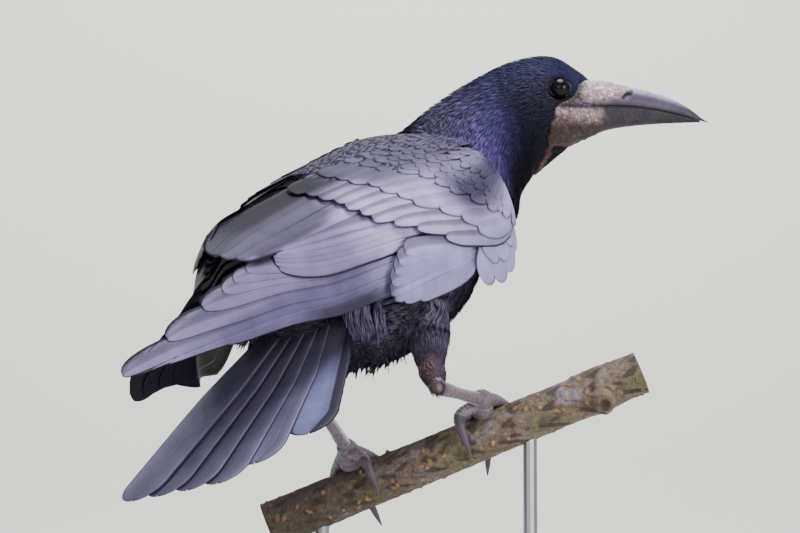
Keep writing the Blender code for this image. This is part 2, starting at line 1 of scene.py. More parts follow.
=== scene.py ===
"""A rook on a cut branch: skin, feathers, horn, bark and stand over the solid frame.

Metres, +Z up.  Places are given in millimetres in the bird's own frame (forward, right,
back), in the head's frame (along the bill, up, side), on the folded wing (forward, share
of the way from its inner to its lower edge) and round the branch.
"""
import math

import bpy
import bmesh
import numpy as np
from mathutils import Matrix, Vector


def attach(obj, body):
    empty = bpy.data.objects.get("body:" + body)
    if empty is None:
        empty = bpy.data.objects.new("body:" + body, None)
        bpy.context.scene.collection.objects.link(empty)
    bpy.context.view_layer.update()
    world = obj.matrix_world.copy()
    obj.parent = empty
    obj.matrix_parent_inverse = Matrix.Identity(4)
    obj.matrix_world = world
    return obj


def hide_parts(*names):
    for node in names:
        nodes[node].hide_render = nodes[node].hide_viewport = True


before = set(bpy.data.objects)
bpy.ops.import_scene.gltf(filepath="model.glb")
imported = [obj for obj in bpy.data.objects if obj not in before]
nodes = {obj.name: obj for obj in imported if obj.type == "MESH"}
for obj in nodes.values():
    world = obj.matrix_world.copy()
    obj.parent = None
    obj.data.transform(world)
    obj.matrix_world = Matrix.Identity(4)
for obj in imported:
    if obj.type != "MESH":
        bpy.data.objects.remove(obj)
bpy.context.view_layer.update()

MM = 0.001
random = np.random.default_rng(17)

# ---------------------------------------------------------------- frames
BODY_AT = np.array((11.0, 33.0, 305.0))
BODY_PITCH = math.radians(27.0)
FORWARD = np.array((0.0, -math.cos(BODY_PITCH), math.sin(BODY_PITCH)))
RIGHT = np.array((-1.0, 0.0, 0.0))
BACK = np.array((0.0, math.sin(BODY_PITCH), math.cos(BODY_PITCH)))

HEAD_AT = np.array((-54.5, -48.7, 396.3))
HEAD_TURN = math.radians(58.0)
HEAD_ROLL = math.radians(8.0)
HEAD_ALONG = np.array((-math.sin(HEAD_TURN), -math.cos(HEAD_TURN), 0.0))
HEAD_SIDE = np.array((-math.cos(HEAD_TURN) * math.cos(HEAD_ROLL),
                      math.sin(HEAD_TURN) * math.cos(HEAD_ROLL), -math.sin(HEAD_ROLL)))
HEAD_UP = np.cross(HEAD_SIDE, HEAD_ALONG)

PERCH_HEIGHT = 205.0
PERCH_TURN = math.radians(28.6)
PERCH_RISE = math.radians(22.2)
PERCH_DIR = np.array((-math.cos(PERCH_TURN) * math.cos(PERCH_RISE),
                      -math.sin(PERCH_TURN) * math.cos(PERCH_RISE), math.sin(PERCH_RISE)))
PERCH_OUT = -np.cross((0.0, 0.0, 1.0), PERCH_DIR)
PERCH_OUT /= np.linalg.norm(PERCH_OUT)
PERCH_UP = np.cross(PERCH_OUT, PERCH_DIR)
PERCH_ENDS = (-79.0, 122.0)
PERCH_RADIUS = (11.5, 10.6)


def place(at, axes, values):
    """Places from a frame's middle and axes, in metres."""
    total = np.asarray(at, float)
    for axis, value in zip(axes, values):
        total = total + np.asarray(value, float)[..., None] * axis
    return total * MM


def body(forward, right, back):
    return place(BODY_AT, (FORWARD, RIGHT, BACK), (forward, right, back))


def head(along, up, side):
    return place(HEAD_AT, (HEAD_ALONG, HEAD_UP, HEAD_SIDE), (along, up, side))


def perch(along, up, out):
    return place((0.0, 0.0, PERCH_HEIGHT), (PERCH_DIR, PERCH_UP, PERCH_OUT), (along, up, out))


def wrapped(along, turn, reach):
    """A place round the branch."""
    a = np.radians(turn)
    return perch(along, reach * np.cos(a), reach * np.sin(a))


def unit(v):
    return v / np.maximum(np.linalg.norm(v, axis=-1, keepdims=True), 1e-12)


def smooth(points, t):
    """Smooth values at t, 0 to 1, through evenly spaced points; straight on past the ends."""
    p = np.asarray(points, float)
    single = p.ndim == 1
    p = p.reshape(len(p), -1)
    spans = len(p) - 1
    full = np.asarray(t, float) * spans
    inside = np.clip(full, 0.0, spans)
    i = np.minimum(inside.astype(int), spans - 1)
    u = (inside - i)[..., None]
    p0, p1, p2, p3 = p[np.maximum(i - 1, 0)], p[i], p[i + 1], p[np.minimum(i + 2, spans)]
    value = 0.5 * (2 * p1 + (p2 - p0) * u + (2 * p0 - 5 * p1 + 4 * p2 - p3) * u * u
                   + (3 * p1 - p0 - 3 * p2 + p3) * u ** 3)
    slope = np.where((full < 0)[..., None], p[1] - p[0], p[-1] - p[-2])
    value = value + (full - inside)[..., None] * slope
    return value[..., 0] if single else value


def line(pairs, x):
    """Straight-line value at x through (x, value) pairs."""
    xs, vs = zip(*sorted(pairs))
    return np.interp(x, xs, vs)


def step(low, high, x):
    """0 below low, 1 above high, smooth between."""
    t = np.clip((x - low) / (high - low), 0.0, 1.0)
    return t * t * (3 - 2 * t)


def round_grid(ts, columns):
    """Places along a tube by even angles round it, as two grids."""
    return np.meshgrid(ts, np.arange(columns) * 2 * math.pi / columns, indexing="ij")


def even_map(xs, ys):
    """A map over a grid: xs down its rows, ys across its columns."""
    return np.stack(np.meshgrid(xs, ys, indexing="ij"), -1)


def rough(x, y, z=0.0, seed=0.0):
    """Smooth wavering between -1 and 1 from a few crossed waves."""
    x, y, z = x + seed * 1.7, y - seed * 2.3, z + seed * 0.9
    return (np.sin(1.0 * x + 1.3 * np.sin(0.7 * y + 0.4 * z)) * 0.4
            + np.sin(2.1 * y + 1.1 * np.sin(1.6 * z + 0.9 * x)) * 0.3
            + np.sin(2.7 * z + 1.9 * x + 1.2 * np.sin(2.3 * y)) * 0.3)


def shade(*rgb):
    """A screen colour, 0 to 255, as linear light."""
    c = np.asarray(rgb, float) / 255.0
    return np.where(c <= 0.04045, c / 12.92, ((c + 0.055) / 1.055) ** 2.4)


def towards(tone, color, share):
    """A tone turned towards a colour by a share at each place."""
    share = np.clip(share, 0, 1)[..., None]
    return tone * (1 - share) + color * share


def painted(tone, rows, *values):
    """A tone turned towards each row's colour: by its share, times a step between two
    levels of one of the values for each (which value, 0 below, 1 above) that it names."""
    for color, share, *steps in rows:
        for which, low, high in steps:
            share = share * step(low, high, values[which])
        tone = towards(tone, shade(*color), share)
    return tone


def color_line(pairs, x):
    """Colours at x, blended between (x, colour) pairs."""
    colors = np.array([shade(*color) for _, color in pairs])
    return np.stack([np.interp(x, [at for at, _ in pairs], colors[:, k]) for k in range(3)], -1)


# ---------------------------------------------------------------- the body's outline
TRUNK_SECTIONS = (
    (-92, 0, 2, 9, 5, 8, 0), (-72, 0, 3, 21, 15, 22, 0), (-50, 0, 2, 34, 30, 36, 0),
    (-22, 0, 0, 43, 42, 49, 0), (10, 0, -1, 46, 47, 53, 0), (40, 1, -1, 46, 48, 50, 6),
    (66, 6, 3, 40, 43, 44, 20),
)
NECK_SECTIONS = ((-43, -37, -14, 33, 37, 38, 0.70), (-28, -21, -8, 25, 32, 32, 0.92))
NECK_LEAN = (40.0, 20.0)
HEAD_SECTIONS = (
    (-15, -12.5, -2, 21, 30, 30), (-3, -7.5, 0, 18.5, 26, 29), (9, -7, 0, 15.0, 19, 20),
    (17.8, -8, 0, 10.6, 14.0, 14.2),
)
HEAD_LEAN = (8.0, -2.0, -3.0, 0.0)


def body_rows():
    """Every section as one row: middle, side, up, width, top and bottom."""
    rows = []

    def leaning(degrees):
        tip = math.radians(degrees)
        return HEAD_UP * math.cos(tip) - HEAD_ALONG * math.sin(tip)
    for forward, right, back, wide, top, low, turn in TRUNK_SECTIONS:
        swing = math.radians(turn)
        across = RIGHT * math.cos(swing) - FORWARD * math.sin(swing)
        rows.append((*(body(forward, right, back) / MM), *across, *BACK, wide, top, low))
    for (along, up, side, wide, top, low, share), lean in zip(NECK_SECTIONS, NECK_LEAN):
        across = RIGHT + (HEAD_SIDE - RIGHT) * share
        rise = BACK + (leaning(lean) - BACK) * share
        rows.append((*(head(along, up, side) / MM), *across, *rise, wide, top, low))
    for (along, up, side, wide, top, low), lean in zip(HEAD_SECTIONS, HEAD_LEAN):
        rows.append((*(head(along, up, side) / MM), *HEAD_SIDE, *leaning(lean), wide, top, low))
    return np.array(rows)


BODY_ROWS = body_rows()


def body_surface(t, a, grow=0.0):
    """A place on the body's outline: t from the tail's root to the face, a round it."""
    t, a = np.broadcast_arrays(np.asarray(t, float), np.asarray(a, float))
    values = smooth(BODY_ROWS, t)
    middle, side, up = values[..., 0:3], unit(values[..., 3:6]), values[..., 6:9]
    wide, top, low = values[..., 9] + grow, values[..., 10] + grow, values[..., 11] + grow
    up = unit(up - side * np.sum(up * side, axis=-1, keepdims=True))
    reach = np.where(np.sin(a) > 0, top, low)
    return (middle + side * (wide * np.cos(a))[..., None]
            + up * (reach * np.sin(a))[..., None]) * MM


def tube_surface(path, radii):
    """A tapered tube along a smooth path, as a function of t, a and grow."""
    path, radii = np.asarray(path, float), np.asarray(radii, float)

    def surface(t, a, grow=0.0):
        t, a = np.broadcast_arrays(np.asarray(t, float), np.asarray(a, float))
        here = smooth(path, t)
        along = unit(smooth(path, t + 0.02) - smooth(path, t - 0.02))
        side = unit(np.cross(along, (0.0, 0.0, 1.0)))
        up = np.cross(side, along)
        radius = (smooth(radii, np.clip(t, 0, 1)) + grow) * MM
        return (here + side * (radius * np.cos(a))[..., None]
                + up * (radius * np.sin(a))[..., None])
    return surface


ANKLES = {"right": np.array((-44.8, 52.2, 237.0)), "left": np.array((20.5, 71.0, 243.0))}
THIGHS = {"right": ((-2, 30, -24), (-10, 34, -38), (-25, 41, -47)),
          "left": ((-4, -26, -26), (-22, -23, -40), (-42, -16, -42))}
THIGH_RADII = (13.0, 10.5, 6.8, 6.0, 4.0)


def thigh_surface(side):
    hip = [body(*p) for p in THIGHS[side]]
    ankle = ANKLES[side] * MM
    return tube_surface([*hip, (hip[-1] + ankle) / 2, hip[-1] + (ankle - hip[-1]) * 0.94],
                        THIGH_RADII)


# ---------------------------------------------------------------- meshes
def add_mesh(name, verts, quads, material, uvs=None, tint=None):
    """A mesh from arrays of places and four-cornered faces, with its maps and tints."""
    verts = np.asarray(verts, np.float32).reshape(-1, 3)
    quads = np.asarray(quads, np.int32)
    mesh = bpy.data.meshes.new(name)
    mesh.vertices.add(len(verts))
    mesh.vertices.foreach_set("co", verts.ravel())
    mesh.loops.add(quads.size)
    mesh.loops.foreach_set("vertex_index", quads.ravel())
    mesh.polygons.add(len(quads))
    mesh.polygons.foreach_set("loop_start", np.arange(0, quads.size, 4, dtype=np.int32))
    mesh.polygons.foreach_set("use_smooth", np.ones(len(quads), bool))
    for label, uv in (uvs or {}).items():
        layer = mesh.uv_layers.new(name=label)
        uv = np.asarray(uv, np.float32).reshape(-1, 2)
        layer.data.foreach_set("uv", uv[quads.ravel()].ravel())
    if tint is not None:
        layer = mesh.color_attributes.new("tint", "FLOAT_COLOR", "POINT")
        full = np.ones((len(verts), 4), np.float32)
        full[:, :tint.shape[-1]] = tint.reshape(-1, tint.shape[-1])
        layer.data.foreach_set("color", full.ravel())
    mesh.update(calc_edges=True)
    mesh.validate()
    mesh.materials.append(material)
    piece = bpy.data.objects.new(name, mesh)
    bpy.context.collection.objects.link(piece)
    return piece


def fitted(piece, slot, *replaced):
    """Puts a piece on the frame and hides the nodes that it replaces; its slot is not used."""
    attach(piece, "root")
    if replaced:
        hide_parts(*replaced)


def ring_quads(rows, columns):
    """Faces between rings of points, one ring a row."""
    r, c = np.meshgrid(np.arange(rows - 1), np.arange(columns), indexing="ij")
    nxt = (c + 1) % columns
    quad = np.stack([r * columns + c, r * columns + nxt,
                     (r + 1) * columns + nxt, (r + 1) * columns + c], axis=-1)
    return quad.reshape(-1, 4)


def faces_out(piece):
    """Turns a closed piece right side out, judged by the volume that its faces enclose."""
    mesh = piece.data
    mesh.calc_loop_triangles()
    points = np.zeros(len(mesh.vertices) * 3)
    mesh.vertices.foreach_get("co", points)
    corners = np.zeros(len(mesh.loop_triangles) * 3, dtype=np.int32)
    mesh.loop_triangles.foreach_get("vertices", corners)
    points = points.reshape(-1, 3)
    a, b, c = ((points - points.mean(axis=0))[corners.reshape(-1, 3)[:, k]] for k in range(3))
    if (np.cross(a, b) * c).sum() < 0:
        mesh.flip_normals()
        mesh.update()


def outward(piece):
    """Merges what touches and turns every face outwards."""
    shape = bmesh.new()
    shape.from_mesh(piece.data)
    bmesh.ops.remove_doubles(shape, verts=shape.verts, dist=1e-6)
    bmesh.ops.recalc_face_normals(shape, faces=shape.faces)
    shape.to_mesh(piece.data)
    shape.free()
    piece.data.update()
    faces_out(piece)


def ring_solid(name, rings, material, tint=None, uvs=None):
    """A closed solid through rings of equal count."""
    rows, count = rings.shape[:2]
    shape = add_mesh(name, rings, ring_quads(rows, count), material, uvs, tint)
    mesh = bmesh.new()
    mesh.from_mesh(shape.data)
    mesh.verts.ensure_lookup_table()
    for start in (0, (rows - 1) * count):
        mesh.faces.new([mesh.verts[start + k] for k in range(count)])
    bmesh.ops.triangulate(mesh, faces=[f for f in mesh.faces if len(f.verts) > 4])
    bmesh.ops.recalc_face_normals(mesh, faces=mesh.faces)
    mesh.to_mesh(shape.data)
    mesh.free()
    shape.data.shade_smooth()
    faces_out(shape)
    return shape


class Blade:
    """The pattern of one thin closed vane: a grid on top, and one beneath inside its rim."""

    def __init__(self, rows, columns):
        r, c = np.meshgrid(np.arange(rows + 1), np.arange(columns + 1), indexing="ij")
        top = np.arange((rows + 1) * (columns + 1)).reshape(rows + 1, columns + 1)
        under = top.copy()
        inner = (rows - 1) * (columns - 1)
        under[1:-1, 1:-1] = top.size + np.arange(inner).reshape(rows - 1, columns - 1)
        self.u = np.concatenate([c.ravel(), c[1:-1, 1:-1].ravel()]) / columns * 2 - 1
        self.v = np.concatenate([r.ravel(), r[1:-1, 1:-1].ravel()]) / rows
        if rows > 10:                                   # rows close up towards a long tip
            self.v = 1 - (1 - self.v) ** 1.6
        self.face = np.ones(len(self.u))                # 1 on top, -1 beneath, 0 on the rim
        self.face[top.size:] = -1.0
        rim = (np.abs(self.u) > 0.999) | (self.v < 1e-6) | (self.v > 1 - 1e-6)
        self.face[rim] = 0.0
        self.own = np.stack([self.u * 0.5 + 0.5, self.v], axis=-1)

        def quads(g):
            return np.stack([g[:-1, :-1], g[:-1, 1:], g[1:, 1:], g[1:, :-1]], -1).reshape(-1, 4)
        self.quads = np.concatenate([quads(top), quads(under)[:, ::-1]])

    def faces(self, count):
        """The faces of this many vanes one after another."""
        start = np.arange(count)[:, None, None] * len(self.u)
        return (self.quads[None] + start).reshape(-1, 4)


PATCH = 0.003                                   # one tuft's patch on the unwrap


def vane_maps(blade, count, bake_at):
    """The vanes' own map, and their patches on the unwrap of the skin."""
    root = np.repeat(np.asarray(bake_at, float), len(blade.u), axis=0)
    patch = np.stack([blade.u / 2, blade.v - 0.5], axis=-1) * PATCH
    return {"Vane": np.tile(blade.own, (count, 1)), "OFBake": root + np.tile(patch, (count, 1))}


# ---------------------------------------------------------------- markings
# Down the back, along the side and beneath, at places along the body (t): black plumage with
# painted sky reflection and gloss, lightest on top, and painted shade beneath, near black at the
# throat.
BODY_SHEEN_AND_SHADE = (
    (0.00, (56, 54, 70), (74, 71, 86), (74, 71, 84)),
    (0.17, (72, 70, 88), (88, 85, 103), (86, 83, 99)),
    (0.33, (96, 92, 108), (98, 94, 113), (92, 88, 106)),
    (0.48, (98, 93, 110), (104, 92, 134), (70, 66, 84)),
    (0.56, (96, 90, 114), (134, 112, 178), (30, 27, 36)),
    (0.62, (88, 81, 116), (132, 112, 188), (14, 13, 17)),
    (0.68, (70, 66, 102), (84, 80, 138), (8, 7, 9)),
    (0.74, (52, 52, 86), (26, 28, 47), (3, 3, 4)),
    (0.84, (48, 51, 88), (17, 19, 32), (2, 2, 3)),
    (1.00, (46, 50, 86), (24, 28, 44), (7, 6, 8)),
)


def plumage_shade(t, a):
    """The plumage's colour at a place on the body: painted sky reflection on top, painted shade
    beneath.
    """
    top, side, low = (color_line([(row[0], row[k]) for row in BODY_SHEEN_AND_SHADE], t) for k in (1, 2, 3))
    # the top colours where the body faces up, the painted shade of the lower ones where it faces
    # down
    high = step(0.15, 0.95, np.sin(a))[..., None]
    deep = step(0.05, 0.85, -np.sin(a))[..., None]
    return side * (1 - high) * (1 - deep) + top * high + low * deep


# Where the bare face begins: how far forward along the head, at each height on it.
FACE_EDGE = ((-42, -11.0), (-38, -9.5), (-33, -6.5), (-29, -5.2), (-23, -4.6), (-19, -3.8),
             (-15, -2.6), (-11, -1.2), (-8, -0.8), (-6, 0.6), (-4, 6.0), (-2, 8.6), (1.5, 9.6),
             (4.5, 11.0), (6.0, 14.2), (7.0, 19.0), (8.5, 22.0))
# How far forward the skin reaches over the bill, by height beside it.
SKIN_REACH = ((-24, 22.0), (-19, 21.5), (-16.5, 18.9), (-14.5, 20.4), (-12.5, 21.6), (-10, 20.6),
              (-8.4, 18.8), (-6, 18.7), (-4.2, 21.5), (-3, 29.0), (-1, 33.5), (1, 35.2),
              (3, 35.0), (5, 32.0), (9, 31.0))


# The bare face's colours by height, near the bill and further back: the dark step at the gape
# (about -7.5) is painted shade in its crease, and the palest rows on top are pale skin with a
# painted highlight.
NEAR_BILL = (
    (-30, (92, 66, 60)), (-24, (66, 52, 44)), (-17.5, (84, 66, 56)), (-15, (164, 136, 134)),
    (-12, (214, 190, 192)), (-9, (218, 194, 198)), (-7.6, (84, 68, 74)), (-6, (140, 128, 144)),
    (-4, (178, 162, 172)), (-2, (232, 204, 206)), (2, (255, 232, 232)), (6, (255, 238, 238)))
FAR_FROM_BILL = (
    (-40, (104, 70, 62)), (-28, (104, 70, 60)), (-23, (84, 62, 54)), (-18, (88, 68, 60)),
    (-14.5, (140, 114, 112)), (-11, (182, 158, 162)), (-8.6, (190, 168, 178)),
    (-7.4, (56, 42, 48)), (-6, (120, 100, 108)), (-3, (98, 82, 90)), (0, (84, 72, 82)),
    (6, (92, 82, 92)))


def in_head(points):
    """Places as millimetres along the bill, up and to the side."""
    d = np.asarray(points) / MM - HEAD_AT
    return d @ HEAD_ALONG, d @ HEAD_UP, d @ HEAD_SIDE


def bareness(points):
    """0 in the plumage, 1 on the bare face."""
    along, up, side = in_head(points)
    edge = line(FACE_EDGE, up) + 0.8 * rough(up * 0.9, side * 0.7)
    throat = step(-26, -30, up)                        # below the chin only a strip is bare
    bare = step(-1.0, 1.2, along - edge)
    return bare * (1 - throat * step(2.4, 4.0, along - edge))


def face_shade(points):
    """The bare face: pale at the bill's root, partly painted highlight, greyer along the gape, with
    painted shade in the gape's crease, brown to the chin.
    """
    along, up, _ = in_head(points)
    back = step(11.0, 3.0, along + 0.35 * np.minimum(0.0, up + 8.0)
                - 7.0 * step(-8.0, -4.0, up))
    return towards(color_line(NEAR_BILL, up), color_line(FAR_FROM_BILL, up), back)


# ---------------------------------------------------------------- materials
class Finish:
    """One material and short ways to add nodes to its tree."""

    def __init__(self, name, roughness=0.5, metallic=0.0, specular=0.5):
        self.made = bpy.data.materials.new(name)
        self.made.use_nodes = True
        self.tree = self.made.node_tree
        self.shader = self.tree.nodes["Principled BSDF"]
        self.set({"Roughness": roughness, "Metallic": metallic, "Specular IOR Level": specular})

    def set(self, values, node=None):
        """Links or sets inputs of a node, or of the shader, by name or number."""
        for key, value in values.items():
            slot = (node or self.shader).inputs[key]
            if isinstance(value, bpy.types.NodeSocket):
                self.tree.links.new(value, slot)
            else:
                slot.default_value = value

    def add(self, kind, values, output=0, **settings):
        """A new node's output."""
        node = self.tree.nodes.new("ShaderNode" + kind)
        for key, value in settings.items():
            setattr(node, key, value)
        self.set(values, node)
        return node.outputs[output]

    def math(self, operation, a, b=0.0):
        return self.add("Math", {0: a, 1: b}, operation=operation)

    def mix(self, factor, a, b, kind="MIX"):
        """Two colours mixed, each a socket or three numbers."""
        a, b = (c if isinstance(c, bpy.types.NodeSocket) else (*c, 1.0) for c in (a, b))
        return self.add("Mix", {"Factor": factor, 6: a, 7: b}, 2, data_type="RGBA",
                        blend_type=kind)

    def ramp(self, value, *stops, amount=None):
        """A number through a ramp of (place, level) stops, times an amount."""
        node = self.tree.nodes.new("ShaderNodeValToRGB")
        self.tree.links.new(value, node.inputs["Fac"])
        points = node.color_ramp.elements
        while len(points) < len(stops):
            points.new(0.5)
        for point, (at, level) in zip(points, stops):
            point.position = at
            point.color = (level, level, level, 1.0)
        out = node.outputs["Color"]
        return out if amount is None else self.math("MULTIPLY", out, amount)

    def noise(self, where, scale, detail=3.0, roughness=0.55):
        return self.add("TexNoise", {"Vector": where, "Scale": scale, "Detail": detail,
                                     "Roughness": roughness}, "Fac")

    def seams(self, where, scale):
        """How far it is to the edge of a net of cells."""
        return self.add("TexVoronoi", {"Vector": where, "Scale": scale}, "Distance",
                        feature="DISTANCE_TO_EDGE")

    def stretched(self, where, scale, turn=0.0):
        return self.add("Mapping", {"Vector": where, "Rotation": (0.0, 0.0, turn),
                                    "Scale": scale}, "Vector")

    def place(self):
        return self.add("TexCoord", {}, "Object")

    def own_map(self, name):
        return self.add("UVMap", {}, "UV", uv_map=name)

    def tint(self, output="Color"):
        return self.add("Attribute", {}, output, attribute_name="tint")

    def bump(self, height, distance, strength=1.0, under=None):
        values = {"Distance": distance, "Strength": strength, "Height": height}
        if under is not None:
            values["Normal"] = under
        normal = self.add("Bump", values, "Normal")
        self.set({"Normal": normal})
        return normal


def feather_material(name, roughness, sheen, barbs, shaft, edge, shaft_wide=0.05, edge_shadow_wide=0.05):
    """Vanes: a shaft lightened as a painted highlight, barbs slanting off it, a rim darkened as a
    painted shadow line where feathers overlap, and a soft gloss.
    """
    f = Finish(name, roughness, specular=0.30)
    own = f.own_map("Vane")
    x, y = (f.add("SeparateXYZ", {0: own}, axis) for axis in "XY")
    # 0 at the shaft, 1 at the rim
    across = f.math("MULTIPLY", f.math("ABSOLUTE", f.math("SUBTRACT", x, 0.5)), 2.0)
    slant = f.math("SUBTRACT", f.math("MULTIPLY", y, barbs[0]),
                   f.math("MULTIPLY", across, barbs[1]))
    wobble = f.noise(f.place(), 260.0, 2.0)
    ridges = f.math("SINE", f.math("ADD", slant, f.math("MULTIPLY", wobble, 5.0)))
    # the rim: painted shadow, a dark line along each feather's edge
    rim = f.ramp(across, (1.0 - 2.2 * edge_shadow_wide, 0.0), (1.0 - edge_shadow_wide, 1.0), amount=edge)
    quill = f.ramp(across, (0.0, 1.0), (shaft_wide, 0.0))
    color = f.mix(rim, f.tint(), (0.010, 0.008, 0.016))
    # the shaft: a painted highlight, lighter than the vane
    color = f.mix(f.math("MULTIPLY", quill, shaft), color,
                  f.mix(1.0, color, (2.2, 2.1, 2.2), "MULTIPLY"))
    mottle = f.noise(f.place(), 70.0, 4.0)
    level = f.math("ADD", f.math("MULTIPLY", mottle, 0.9), 0.53)
    level = f.math("ADD", level, f.math("MULTIPLY", ridges, 0.06))
    f.set({"Base Color": f.add("VectorMath", {0: color, "Scale": level}, operation="SCALE"),
           "Specular Tint": (0.80, 0.74, 1.0, 1.0), "Sheen Weight": sheen,
           "Sheen Roughness": 0.45, "Sheen Tint": (0.62, 0.56, 0.95, 1.0)})
    f.bump(f.math("ADD", f.math("MULTIPLY", ridges, 0.22), quill), 0.00012, 0.6)
    return f.made


def wrinkled(f):
    """Colour and height of bare skin: a net of fine creases, darkened as painted shade, between
    pale scurfy cells.
    """
    where, tint = f.place(), f.tint()
    warped = f.add("VectorMath", {0: f.noise(where, 240.0, 3.0, 0.6),
                                  1: (0.0085, 0.0070, 0.0080), 2: where},
                   operation="MULTIPLY_ADD")
    along_bill = f.stretched(warped, (1.0, 0.55, 1.0), HEAD_TURN)
    crease = f.ramp(f.seams(along_bill, 430.0), (0.01, 1.0), (0.13, 0.0))
    crack = f.ramp(f.seams(along_bill, 1150.0), (0.0, 1.0), (0.22, 0.0))
    patches = f.noise(where, 300.0, 6.0, 0.68)
    dull = f.mix(1.0, tint, (0.36, 0.30, 0.32), "MULTIPLY")
    # creases and cracks darkened: painted shade in them
    color = f.mix(f.math("MULTIPLY", crease, 0.85), tint, dull)
    color = f.mix(f.math("MULTIPLY", crack, 0.30), color, dull)
    color = f.mix(f.ramp(patches, (0.40, 1.0), (0.58, 0.0), amount=0.45), color, dull)
    color = f.mix(f.ramp(patches, (0.54, 0.0), (0.70, 1.0), amount=0.5), color,
                  f.mix(1.0, tint, (2.25, 2.02, 2.00), "MULTIPLY"))
    height = f.math("SUBTRACT", f.math("MULTIPLY", patches, 1.2),
                    f.math("MULTIPLY", crease, 0.8))
    return color, f.math("SUBTRACT", height, f.math("MULTIPLY", crack, 0.3))


def skin_material():
    """Dark skin under the plumage and pale wrinkled skin on the face, from its own tint."""
    f = Finish("bare_skin", 0.55)
    color, height = wrinkled(f)
    f.set({"Base Color": color, "Subsurface Weight": 0.03,
           "Subsurface Radius": (0.002, 0.001, 0.0006)})
    f.bump(height, 0.00070)
    return f.made


def horn_material(name, base, pale, roughness):
    """Worn horn: streaks along it, a paler bloom where scuffed, and skin over its root."""
    f = Finish(name, roughness, specular=0.30)
    where, skin_share = f.place(), f.tint("Alpha")
    lines = f.noise(f.stretched(where, (1.0, 0.12, 1.0), HEAD_TURN), 900.0, 4.0, 0.6)
    bloom = f.noise(where, 160.0, 5.0, 0.6)
    color = f.mix(f.ramp(lines, (0.35, 0.0), (0.7, 1.0), amount=0.06), f.tint(), pale)
    color = f.mix(f.ramp(bloom, (0.48, 0.0), (0.72, 1.0), amount=0.45), color, base)
    scurf, height = wrinkled(f)
    worn = f.math("ADD", f.math("MULTIPLY", bloom, 0.25), roughness - 0.12)
    f.set({"Base Color": f.mix(skin_share, color, scurf),
           "Roughness": f.math("MAXIMUM", worn, f.math("MULTIPLY", skin_share, 0.55))})
    streaks = f.bump(lines, 0.00012, 0.5)
    f.bump(f.math("MULTIPLY", height, skin_share), 0.00070, under=streaks)
    return f.made


def eye_material():
    f = Finish("eye_wet", 0.12, specular=0.22)
    f.set({"Base Color": (0.004, 0.003, 0.004, 1.0)})
    return f.made


def leg_material():
    """Scaly leg skin from its own tint: blue-grey plates with a painted highlight on their front
    and painted shade in the grooves between them, blotched with brown grime.
    """
    f = Finish("leg_scales", 0.24)
    where = f.place()
    grime = f.noise(where, 420.0, 5.0, 0.6)
    f.set({"Base Color": f.mix(f.ramp(grime, (0.50, 0.0), (0.72, 0.8)), f.tint(),
                               (0.060, 0.045, 0.046))})
    f.bump(f.ramp(f.seams(where, 700.0), (0.0, 0.0), (0.16, 1.0)), 0.00018, 0.6)
    return f.made


def bark_material():
    """Thin smooth bark: brown and green greys, worn purple patches, fine cracks."""
    f = Finish("bark", 0.82)
    where, tint = f.place(), f.tint()
    grain = f.noise(f.stretched(f.own_map("Bark"), (9.0, 60.0, 1.0)), 5.0, 6.0, 0.6)
    mid = f.noise(where, 330.0, 6.0, 0.70)
    specks = f.noise(where, 1100.0, 5.0, 0.70)
    color = tint
    for source, stops, amount, tone, own in (
            (mid, ((0.52, 0.0), (0.66, 1.0)), 0.8, (1.75, 1.70, 1.75), True),
            (mid, ((0.34, 1.0), (0.48, 0.0)), 0.85, (0.34, 0.30, 0.30), True),
            (specks, ((0.36, 1.0), (0.50, 0.0)), 0.6, (0.035, 0.024, 0.018), False),
            (grain, ((0.30, 1.0), (0.44, 0.0)), 0.5, (0.040, 0.026, 0.016), False)):
        color = f.mix(f.ramp(source, *stops, amount=amount), color,
                      f.mix(1.0, tint, tone, "MULTIPLY") if own else tone)
    f.set({"Base Color": color})
    height = f.math("ADD", mid, f.math("MULTIPLY", specks, 0.5))
    f.bump(f.math("ADD", height, f.math("MULTIPLY", grain, 0.5)), 0.0010)
    return f.made


def cut_wood_material():
    """The sawn ends of the branch: rings round a small pith."""
    f = Finish("cut_wood", 0.75)
    own = f.own_map("Bark")
    far = f.add("VectorMath", {0: own, 1: (0.5, 0.5, 0.0)}, "Value", operation="DISTANCE")
    reach = f.math("ADD", far, f.math("MULTIPLY", f.noise(own, 6.0), 0.05))
    rings = f.math("SINE", f.math("MULTIPLY", reach, 95.0))
    f.set({"Base Color": f.mix(f.math("ADD", f.math("MULTIPLY", rings, 0.3), 0.4),
                               (0.52, 0.38, 0.23), (0.36, 0.23, 0.12))})
    f.bump(rings, 0.0002, 0.4)
    return f.made


def stand_wood_material():
    """Dark oiled wood with its grain along the base."""
    f = Finish("stand_wood", 0.38)
    grain = f.noise(f.stretched(f.place(), (14.0, 1.6, 14.0)), 9.0, 8.0, 0.6)
    f.set({"Base Color": f.mix(f.ramp(grain, (0.35, 0.0), (0.65, 1.0)), (0.060, 0.028, 0.014),
                               (0.150, 0.075, 0.036))})
    f.bump(grain, 0.00015, 0.4)
    return f.made


def stand_steel_material():
    """Steel rod, brushed round."""
    f = Finish("stand_steel", 0.3, 1.0)
    f.set({"Base Color": (0.52, 0.52, 0.53, 1.0)})
    f.bump(f.noise(f.stretched(f.place(), (1.0, 1.0, 40.0)), 160.0), 0.00003, 0.5)
    return f.made


def paper_material():
    f = Finish("stage_paper", 0.9)
    f.set({"Base Color": (0.72, 0.74, 0.70, 1.0)})
    return f.made


